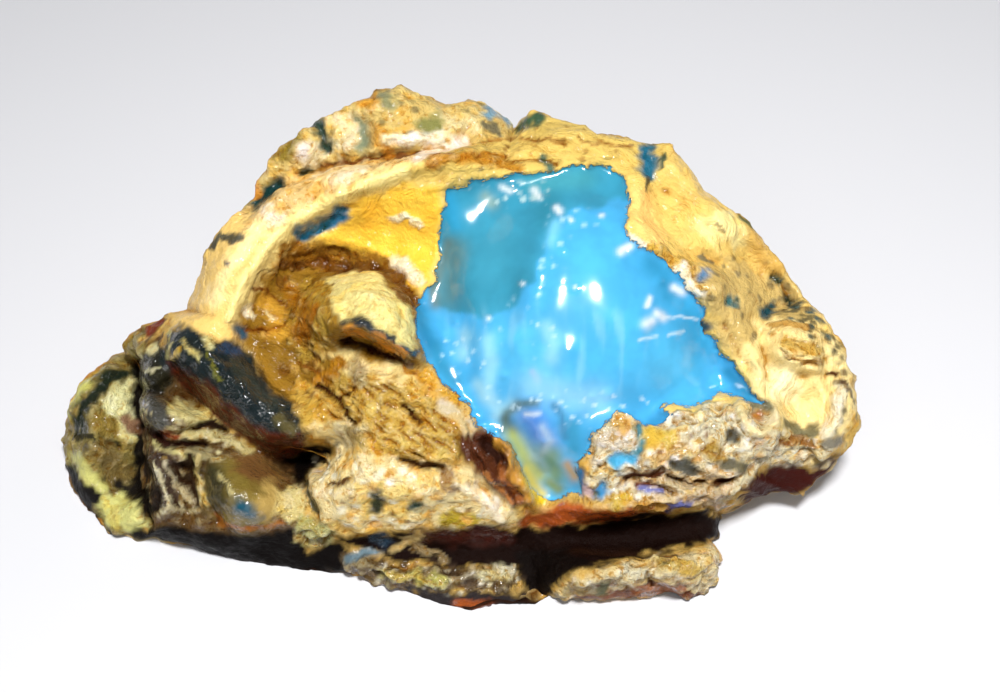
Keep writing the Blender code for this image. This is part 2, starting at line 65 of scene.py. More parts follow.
# Edge of the nugget as sighted square to the face, clockwise from the left end
OUTLINE = [
    (-34.6, -8.2), (-34.1, -5.6), (-33.1, -3.4), (-31.3, -1.7), (-29.8, -0.3), (-27.8, 1.8), (-26.1, 2.6),
    (-23.9, 3.1), (-23.1, 4.9), (-22.2, 7.9), (-21.3, 9.7), (-19.8, 11.4), (-18.3, 13.1), (-17.8, 14.4),
    (-16.5, 16.2), (-14.8, 17.9), (-12.6, 19.7), (-10.4, 20.5), (-9.4, 21.1), (-7.4, 22.1), (-5.2, 22.4),
    (-3, 22.1), (-1.3, 21.1), (0.9, 21.1), (2.6, 20.7), (4.2, 19.8), (4.8, 19.2), (6.1, 20.4), (7.4, 20.1),
    (9.1, 19.7), (10.9, 19.2), (12, 18.4), (13.9, 18.1), (15.7, 17.9), (17, 17.9), (18.1, 17.5),
    (19.1, 16.6), (20.4, 14.9), (21.3, 13.6), (22.6, 12.7), (23.9, 11.8), (25.2, 10.8), (26.5, 9.2),
    (27.8, 7.7), (28.7, 6.2), (29.6, 4.9), (30.9, 3.1), (32.2, 1.8), (33.3, 0.1), (33.8, -1.7),
    (34.4, -2.8), (34.6, -4.7), (34.5, -6.9), (33.9, -8.6), (33.5, -9.5), (32.6, -10.4), (31.8, -11.2),
    (30.9, -12.1), (29.6, -13), (27.8, -13.1), (25.7, -13.4), (23.9, -14.3), (22.8, -14.7), (22.2, -17.3),
    (22.8, -18.6), (22.4, -20.4), (21.3, -21.7), (20, -22.3), (18.3, -21.8), (15.7, -21.9), (13.5, -21.8),
    (11.3, -22.1), (9.1, -22.4), (7.8, -21.8), (6.5, -22.7), (3.5, -22.5), (0.9, -23.1), (-1.7, -22.5),
    (-4.8, -21.2), (-7, -20.4), (-9.6, -19.9), (-13.9, -19.5), (-19.1, -18.6), (-24.4, -17.3), (-27, -16.9),
    (-28.3, -17.1), (-30.4, -16.4), (-31.8, -15.1), (-33.5, -12.5), (-34.4, -10.4),
]
OUTLINE_MIDDLE = (-1, -1)
OUTLINE_STEPS = 360
OUTLINE_RUNS = 12
OUTLINE_ROUNDS = 2
OUTLINE_HOLD = 5
OUTLINE_DEPTHS = (-20, -9)

# Edge of the blue window, and the stand of the crust beside it
WINDOW = [
    (-1.3, 13.6), (0, 13.9), (1.4, 14.3), (3.5, 14.6), (5.2, 14.9), (7.4, 15.1), (9.6, 15.7), (12.2, 15.7),
    (14.1, 14.9), (14.6, 13.4), (14.6, 11.6), (14.1, 10.4), (14.6, 9.4), (15.7, 8.4), (16.9, 8),
    (17.9, 7.2), (19, 6.6), (19.6, 5.3), (20.7, 4.4), (21.2, 2.9), (21, 1.7), (22, 0.6), (22.5, -0.8),
    (23.9, -1.5), (24.4, -3), (25.4, -4), (26.8, -4.9), (24.4, -4.8), (22.4, -3.8), (21.6, -4.6),
    (19.6, -5.3), (17.8, -5.3), (18.6, -6.2), (17.2, -7), (16.1, -6.9), (14.8, -6.2), (13.6, -5.8),
    (12.2, -6.9), (11.2, -7.8), (10.8, -9.2), (10.2, -10.4), (10.4, -12.8), (8.6, -13.2), (6.8, -12.8),
    (5.6, -11), (4.9, -9.4), (3.6, -7.9), (2.4, -7.3), (1.4, -6.6), (0.7, -5.2), (-0.5, -3.9), (-1.6, -2.7),
    (-2.9, -1.2), (-3.6, 0.4), (-4, 2.4), (-3.6, 4), (-2.9, 4.6), (-2, 5.6), (-1.7, 7.4), (-1.9, 9),
    (-1.4, 10.2), (-1.7, 11.6), (-1.2, 12.6),
]
WINDOW_EDGE = (-0.12, 0.12)
OUTSIDE = 2
CRUST_STAND = 0.55
CRUST_STAND_RUN = 2.5
CRUST_STAND_EDGE = (0.2, -0.2)

# What each kind of surface is like: grit, wetness, clearness, softness of its edge
KINDS = {
    "plain": (1.0, 0.4, 0.0, 0.22),
    "crust": (1.0, 0.62, 0.0, 0.22),
    "chalk": (0.75, 0.4, 0.0, 0.35),
    "smooth": (0.35, 0.6, 0.0, 0.4),
    "crumb": (1.4, 0.95, 0.0, 0.22),
    "crack": (0.6, 0.05, 0.0, 0.22),
    "dark": (0.35, 0.2, 0.0, 0.3),
    "resin": (0.45, 1.0, 0.03, 0.35),
    "lens": (0.2, 1.0, 0.1, 0.7),
    # spark: white glossy paint, used partly as painted sparkle
    "spark": (0.7, 1.0, 0.0, 0.25),
    "deep": (0.3, 0.9, 0.1, 0.5),
}
STREAK_BLUR = 1.8
MOST_BLUR = 0.9
PLAIN_COLOUR = (226, 186, 100)

# Broad patches, name: (kind, colour, soft edge, outline)
PATCHES = {
    "upper_face": ("smooth", (228, 192, 104), 1.5, [
        (-20, 5), (-16, 11), (-8, 15), (2, 17.5), (12, 18.5), (18.5, 17.5), (27, 9), (34, 0), (34, -8),
        (24, -8), (14, -5), (0, -4), (-5, 6), (-12, 8),
    ]),
    "crown": ("crust", (240, 208, 124), 1.0, [
        (-19, 11), (-17, 16.5), (-13, 20.5), (-7, 23.5), (-1, 22.5), (5, 20.5), (5, 18.2), (0, 17.2),
        (-6, 16.4), (-12, 15.2), (-16, 13.2),
    ]),
    "strata": ("smooth", (218, 186, 98), 0.6, [
        (-6, 14.2), (-4, 16.6), (4, 18.4), (6, 20.6), (12, 19.6), (18.5, 18), (17, 14), (14.6, 15.2),
        (6, 14.8), (-2, 13.4), (-7, 12.8),
    ]),
    "rim_band": ("smooth", (232, 194, 112), 0.5, [
        (-25.5, 1.6), (-23, 6), (-21.8, 9.6), (-18.4, 12), (-15.6, 14.6), (-9, 16), (-1, 17), (-4, 15.4),
        (-9, 13.2), (-12.4, 11.2), (-15.3, 8.8), (-17.6, 5.2), (-19.4, 1.6), (-21, 0.2), (-24, 1.4),
    ]),
    "rim_speckled": ("crust", (255, 214, 138), 0.8, [
        (-19, 11.4), (-15.6, 14.8), (-9, 16.2), (-3, 16.8), (-7, 15), (-12, 12.6), (-15.5, 10.4),
        (-18, 9.6),
    ]),
    "bowl": ("smooth", (142, 104, 30), 0.6, [
        (-19.4, 1.4), (-17.6, 5.2), (-15.3, 8.8), (-12, 9), (-8, 9), (-4, 8), (-3.6, 4.4), (-3.8, 1),
        (-3, -1.4), (-7, -3.6), (-11.5, -2.4), (-14, -5.6), (-16.8, -3.6),
    ]),
    "bowl_slope": ("smooth", (244, 194, 66), 0.5, [
        (-10.4, 12.6), (-5, 14.4), (-1.6, 13.6), (-1.6, 9), (-2.8, 5), (-4.4, 4.8), (-6.6, 7.6),
        (-10.6, 8.6), (-12, 9), (-11, 10.6),
    ]),
    # painted shade in the crescent groove above the lump
    "bowl_brown": ("crust", (172, 122, 38), 0.7, [
        (-15.4, 8.7), (-11, 8.6), (-6.8, 7.9), (-4.6, 5.6), (-4.6, 4.4), (-6.8, 6.3), (-9.6, 6.3),
        (-13, 6.8), (-16.6, 6.6),
    ]),
    "lump": ("chalk", (250, 232, 150), 0.5, [
        (-11.8, 6), (-9.6, 6.7), (-7.4, 6.5), (-5.2, 4.4), (-3.9, 1.4), (-4, -0.6), (-6.4, 0.8), (-8, 2.2),
        (-10.2, 2.3), (-11.3, 4),
    ]),
    # painted shade on the lump's left side
    "lump_shaded_side": ("crust", (188, 150, 56), 0.9, [
        (-14.6, 5.2), (-11.4, 5.8), (-11.2, 2), (-11.8, -1), (-14, -1.6), (-15.4, 1.5),
    ]),
    "below_lip": ("chalk", (240, 214, 140), 0.8, [
        (-12, -0.4), (-9.6, -0.6), (-6, -1.4), (-3, -2.4), (-4, -4), (-7.6, -3.8), (-10.6, -2.6),
    ]),
    "belly": ("crust", (226, 184, 82), 0.9, [
        (-14.6, -3.2), (-9.6, -2.8), (-4.4, -3.2), (-1.4, -5), (0.4, -7), (0.4, -9.6), (-2.4, -10.4),
        (-6, -10), (-10.6, -7), (-13.4, -7),
    ]),
    "belly_chalk": ("chalk", (230, 212, 160), 0.6, [
        (-12.6, -7), (-9.8, -6.4), (-8, -7.2), (-8.2, -9), (-10.4, -9.4), (-12.8, -8),
    ]),
    "lower_crust": ("crust", (255, 232, 168), 0.8, [
        (-13.4, -10), (-10.6, -9.2), (-7, -9.8), (-2.6, -10.6), (1, -10.4), (4, -13), (6, -15.4),
        (0, -15.9), (-6.4, -16), (-10.4, -15.8), (-13, -13.6),
    ]),
    "lower_yellow": ("crust", (255, 222, 128), 0.9, [
        (-9, -12), (-5.4, -11.6), (-3.4, -13), (-4.4, -15.2), (-7.8, -15), (-9.4, -13.6),
    ]),
    "olive_patch": ("crust", (206, 178, 52), 0.5, [
        (-2, -15.3), (-0.6, -14.3), (1, -14.2), (2.2, -15.2), (0.4, -15.9), (-1.4, -15.9),
    ]),
    "left_mass": ("crust", (104, 78, 42), 0.8, [
        (-26, 1.4), (-29, -1), (-29, -15), (-26, -17.5), (-19, -18.4), (-13.6, -16.4), (-13.8, -10.6),
        (-19, -8), (-24.6, -2),
    ]),
    "far_lobe": ("crust", (150, 134, 74), 0.6, [
        (-27, 2.4), (-31, -0.6), (-34.6, -4), (-36, -9), (-35, -15), (-30.8, -18), (-27.6, -16.6),
        (-28, -12), (-28.4, -6), (-28.2, -1),
    ]),
    "far_cream": ("chalk", (234, 228, 164), 0.6, [
        (-28.5, -2.6), (-29.8, -3.2), (-31.2, -4.6), (-30.8, -6.2), (-29.8, -6.4), (-29.3, -8),
        (-28.5, -8.4), (-28.2, -5),
    ]),
    "far_foot": ("chalk", (222, 218, 132), 0.6, [
        (-31, -13.2), (-29.2, -12.8), (-28, -14), (-27.3, -15.9), (-28.6, -16.5), (-30.4, -15.4),
        (-31.8, -14.4),
    ]),
    # painted shade under the far lobe
    "far_under_shade": ("dark", (20, 17, 16), 0.3, [
        (-36, -9.8), (-33.8, -10.2), (-32.6, -11.8), (-31, -12.9), (-31.9, -14.3), (-30.6, -15.8),
        (-29, -16.8), (-28.4, -18.5), (-36, -18.5),
    ]),
    "upper_lobe": ("resin", (34, 32, 20), 0.2, [
        (-28.5, -1.8), (-27.7, -0.7), (-26, 0.3), (-25.1, -0.8), (-24.9, -2.8), (-25.6, -4.3),
        (-28.1, -4.2),
    ]),
    "second_lobe": ("resin", (76, 75, 68), 0.2, [
        (-28.2, -4.5), (-26.7, -4.3), (-25.2, -5.3), (-24.9, -7.2), (-26.2, -7.9), (-27.7, -6.8),
    ]),
    # painted shade under the left end
    "under_left_shade": ("dark", (10, 6, 5), 0.3, [
        (-28.4, -16.2), (-25, -15.6), (-22, -16), (-18, -16.3), (-14.6, -16.2), (-13, -17.6), (-10.4, -17),
        (-9, -18), (-9.4, -21), (-28.6, -18.6),
    ]),
    "tongue": ("resin", (28, 38, 40), 0.25, [
        (-25.4, 0.8), (-23.8, 1.9), (-21.8, 0.6), (-20, 0.6), (-18.6, 0), (-17.4, -2), (-16.2, -3.8),
        (-14.6, -4.8), (-13.9, -6.2), (-13.1, -7.8), (-13.6, -9), (-15.4, -9.9), (-17.6, -9.2), (-20, -7),
        (-22.4, -5.2), (-24.4, -3.4), (-26, -1.2),
    ]),
    "tongue_under": ("resin", (88, 36, 16), 0.35, [
        (-25.2, -1.4), (-22.6, -3), (-20.4, -4.6), (-18.4, -6.4), (-16.4, -7.4), (-13.4, -7.6),
        (-13.5, -9.2), (-15.4, -10), (-17.6, -9.3), (-20, -7.1), (-22.4, -5.3), (-24.6, -3.5),
    ]),
    # painted shadow in the notch below the tongue's tip
    "notch": ("dark", (10, 6, 4), 0.25, [
        (-13.2, -8.8), (-11.6, -8.8), (-10.6, -8.7), (-12.2, -10.2), (-13.4, -11.4), (-14.2, -12.1),
        (-15.6, -11), (-16.4, -9.9), (-15.2, -10),
    ]),
    "lens": ("lens", (120, 102, 44), 0.4, [
        (-22.2, -11), (-21, -9.9), (-18.6, -9.6), (-16.4, -10.6), (-15.8, -12.2), (-16.6, -13.8),
        (-16.4, -15.4), (-18.8, -16), (-20.8, -15.4), (-22.2, -13.8),
    ]),
    "lens_top": ("lens", (110, 76, 40), 1.1, [
        (-19.4, -9.4), (-17, -9.8), (-15, -11.4), (-15.6, -12.6), (-17.6, -12.4), (-19.4, -11),
    ]),
    "lens_side": ("crust", (230, 210, 138), 0.6, [
        (-16.6, -12.4), (-15, -12.2), (-13.9, -12.4), (-13.4, -14.8), (-14.8, -15.3), (-16.4, -14.6),
    ]),
    "shelf": ("crumb", (255, 240, 196), 0.6, [
        (10.6, -9), (12.2, -6.9), (13.8, -5.7), (16.4, -6.9), (19.2, -6), (22, -5), (25.6, -5.2),
        (28, -7.2), (33, -8.6), (32, -10.4), (26, -10.6), (23, -13.8), (15, -13.4), (12, -13),
    ]),
    "shelf_bright": ("crumb", (255, 244, 208), 0.6, [
        (17.8, -6.4), (21, -5.6), (24.4, -5.6), (24, -8.6), (20.6, -8.4), (18.6, -7.6),
    ]),
    "shelf_ochre": ("crumb", (250, 206, 124), 0.5, [
        (15.6, -8.2), (19, -7.8), (20, -9.2), (18.4, -10.4), (15.4, -10.6), (14.4, -9.4),
    ]),
    "shelf_low": ("crumb", (255, 226, 176), 0.5, [
        (14, -11.4), (18, -10.7), (23, -10.2), (24.6, -11), (22.8, -13.7), (17, -13.7),
    ]),
    "right_ear": ("smooth", (240, 214, 144), 0.6, [
        (25, 3), (29, 3.4), (33, 0.6), (34.6, -4), (33.6, -7.6), (31, -7.4), (28, -7), (25.6, -4.6),
        (24, -1),
    ]),
    "right_low": ("smooth", (204, 174, 104), 1.4, [
        (21, 7.4), (27.6, 6.6), (31, 2.6), (28, 2.4), (25.6, 2.4), (24.4, -1), (22.6, -0.6), (21.4, 2.6),
    ]),
    "right_cream": ("smooth", (242, 222, 148), 1.2, [
        (20.4, 11.6), (23.4, 11.6), (25.4, 9.6), (24.4, 8.4), (20.8, 9.6),
    ]),
    "right_fold": ("smooth", (212, 170, 86), 0.8, [
        (25.4, 10.6), (27, 8.8), (28.6, 6.6), (27.6, 6.2), (26, 7.4), (24.8, 9.4),
    ]),
    "brow": ("resin", (178, 84, 32), 0.4, [
        (5.6, -14.2), (8.6, -13.5), (12.6, -13.9), (16.6, -14), (18, -14.2), (13.4, -15.5), (8, -15.8),
        (5, -15.6),
    ]),
    # dark red-brown resin in the hollow, deepened as painted shade
    "hollow": ("deep", (82, 42, 22), 0.3, [
        (-0.4, -7.4), (1.4, -6.9), (3, -7.1), (4.2, -8), (4.9, -9.8), (6.2, -13.4), (4.6, -13.9),
        (2.6, -12.2), (1, -10.6), (-0.4, -9),
    ]),
    # painted shade in the recess under the shelf
    "recess": ("dark", (20, 8, 5), 0.5, [
        (-12, -16.8), (-6.4, -16.5), (-1, -16.1), (5, -15.7), (10, -15.7), (14, -14.9), (20, -14.5),
        (23.4, -14.2), (26, -12.4), (29, -12), (30, -13.4), (25, -14.2), (22.6, -16.6), (17, -17.9),
        (11.6, -19.2), (5.6, -19.6), (-2, -19.2), (-8, -18),
    ]),
    # painted shade under the ear's overhang
    "ear_under_shade": ("dark", (60, 20, 14), 0.5, [
        (25.4, -11.4), (27.4, -10.5), (31.4, -10.5), (33.8, -9.2), (32.4, -11.8), (29.6, -13.4),
        (26, -13.6), (24, -13.8),
    ]),
    "front_foot": ("crumb", (255, 232, 174), 0.5, [
        (7.6, -22.4), (9.6, -20.2), (13, -19.4), (18, -18), (22.6, -17.2), (23.4, -20), (21.6, -22.4),
        (13, -22.4), (9.4, -23.4),
    ]),
    "foot_low": ("crust", (132, 74, 40), 0.4, [
        (10, -21.6), (14, -21), (19, -20.9), (21.6, -21.8), (20, -23.2), (10, -23.6),
    ]),
    "low_ledge": ("crumb", (112, 92, 62), 0.5, [
        (-10, -18), (-6, -18.9), (-1, -19.4), (3, -19.3), (5.4, -20.4), (4, -21.6), (-2, -21.2),
        (-7, -20.8), (-10, -19.4),
    ]),
    # painted shadow in the gap between the ledge and the foot
    "foot_gap": ("dark", (14, 8, 6), 0.35, [
        (4.8, -17.8), (9.1, -17.8), (11.6, -18.8), (8.8, -20.3), (7.6, -22.4), (6.2, -22.2), (5, -20.2),
    ]),
    # painted shade along the lower edge
    "low_edge_shade": ("dark", (46, 40, 40), 0.5, [
        (-8, -20.9), (-2, -21.2), (4, -21.6), (6.6, -21.6), (7, -23.4), (1, -23.8), (-6, -22.6),
    ]),
}

# Hidden places painted dark as shade: the walls of the groove, and below the lower edge
CAVES = (
    [
        (-11, -16.6), (5, -15.8), (14, -15.2), (24, -14.4), (29, -12.6), (24, -16), (22.4, -17),
        (17.6, -18.4), (12, -19.6), (8.6, -20.4), (4, -19), (-8, -18),
    ],
    [
        (-30, -17), (-14, -17), (-9.4, -20.4), (-2, -21.2), (5, -21.6), (10, -22), (21, -21.2), (23, -19.4),
        (26, -20), (24, -26), (-12, -26), (-30, -20),
    ],
)
CAVE_SHADE_COLOUR = (40, 22, 12)
CAVE_EDGE = (0, 0.5)

# Outlines that several dustings share
LOWER_CRUST = [
    (-13, -10), (-7, -9.6), (0, -10.6), (3.4, -13), (4, -15.8), (-10, -15.8),
]
SHELF = [
    (10.4, -9), (13.6, -5.8), (20, -5.4), (27, -6), (33, -8.8), (26, -10.8), (22.6, -13.8), (11, -13.4),
]

# Dusting of small spots, name: (kind, colour, spacing, spot size over spacing, outline)
SPECKLES = {
    "ear_top": ("crack", (78, 74, 52), 0.9, 0.62, [
        (27.6, 2.6), (28, 4.6), (29, 4.8), (32, 1.8), (33.9, -0.8), (33, -1.4), (31.4, 0.8), (29.6, 1.9),
    ]),
    "ear_top_teal": ("resin", (40, 78, 84), 1.5, 0.36, [
        (27.6, 3), (28, 6.4), (29.4, 5), (32, 1.8), (33.6, -0.4), (31, 0.6),
    ]),
    "ear_edge": ("crack", (108, 96, 70), 1.0, 0.45, [
        (32.4, -1.6), (34.4, -1.6), (34.4, -8), (32, -8), (32.8, -5),
    ]),
    "right_dots": ("crack", (138, 122, 84), 1.5, 0.36, [(20, 8), (27, 7.4), (31, 3), (26, 0), (22, 2)]),
    "strata_dark": ("crack", (178, 138, 70), 1.3, 0.28, [
        (-4, 15.4), (-2, 18), (6, 19.6), (17, 17.6), (17, 15.6), (6, 15.2),
    ]),
    "crown_dark": ("crack", (122, 106, 66), 1.4, 0.36, [
        (-14, 15.4), (-12, 19.6), (-6, 22), (2, 21), (4, 18.6), (-4, 17.2),
    ]),
    "rim_orange": ("crust", (240, 188, 96), 1.5, 0.32, [
        (-21, 8), (-16, 14.6), (-8, 16.4), (-3, 16.6), (-9, 14), (-15.6, 10.6), (-19, 7),
    ]),
    "slope_gold": ("smooth", (246, 186, 56), 2.6, 0.5, [
        (-11, 11.4), (-5, 14.2), (-1.8, 13.4), (-2, 8), (-4.4, 5), (-7, 8.2), (-12, 9),
    ]),
    "bowl_pale": ("chalk", (214, 172, 88), 1.7, 0.4, [
        (-17.6, 1), (-16, 5.6), (-13, 6), (-12, 0), (-12, -4), (-15, -2),
    ]),
    "bowl_brown": ("crust", (132, 86, 24), 1.8, 0.42, [
        (-19, 1.4), (-17, 6), (-12, 6.6), (-11, 0), (-12.4, -5), (-16, -3),
    ]),
    "belly_gold": ("crust", (250, 214, 110), 1.6, 0.45, [
        (-12, -2.6), (-4, -3), (0.4, -7), (-1, -10.2), (-9, -8),
    ]),
    "crust_orange": ("crust", (246, 192, 96), 1.9, 0.38, LOWER_CRUST),
    # white grains, partly painted sparkle
    "crust_white": ("spark", (255, 248, 220), 1.5, 0.38, LOWER_CRUST),
    "crust_pits": ("crack", (120, 84, 48), 1.7, 0.24, LOWER_CRUST),
    "shelf_orange": ("crumb", (250, 196, 112), 1.7, 0.34, SHELF),
    # white grains, partly painted sparkle
    "shelf_white": ("spark", (255, 250, 230), 1.2, 0.44, SHELF),
    "shelf_pits": ("crack", (120, 76, 50), 1.4, 0.24, SHELF),
    # white grains, partly painted sparkle
    "foot_white": ("spark", (255, 246, 214), 1.2, 0.36, [
        (8, -22), (11, -20), (18, -18), (22.6, -17.4), (23, -20.6), (14, -21.4),
    ]),
    "foot_brown": ("crack", (140, 98, 56), 1.4, 0.34, [
        (8, -22), (11, -20), (18, -18), (22.6, -17.4), (23, -20.6), (14, -21.6),
    ]),
    # white grains, partly painted sparkle
    "ledge_white": ("spark", (250, 244, 214), 1.0, 0.36, [
        (-9, -18.4), (-4, -19.2), (4, -19.4), (6, -20.6), (0, -21.6), (-7, -20.8),
    ]),
    "ledge_dark": ("dark", (60, 46, 34), 1.5, 0.4, [
        (-10, -17.8), (-4, -18.8), (4, -18.8), (6, -20.6), (0, -21.6), (-7, -20.8),
    ]),
    # cream grains, partly painted glints
    "left_cream": ("spark", (232, 222, 168), 1.2, 0.36, [
        (-27.6, -5), (-21, -6.6), (-18.6, -9), (-22, -10), (-22.4, -15), (-27, -15),
    ]),
    "left_dark": ("dark", (40, 28, 16), 1.5, 0.4, [
        (-28, -7.6), (-20, -7.6), (-22.4, -9.8), (-22.4, -15), (-27.6, -15),
    ]),
    "far_dark": ("crust", (74, 66, 40), 1.7, 0.4, [
        (-32.6, -6.4), (-29.4, -7), (-29, -11.4), (-31, -12.4), (-33.4, -9.6),
    ]),
}
SPECKLE_FADE = 0.5
SPECKLE_STRENGTH = 0.85
DUSTING_EDGE = (-0.4, 0.4)

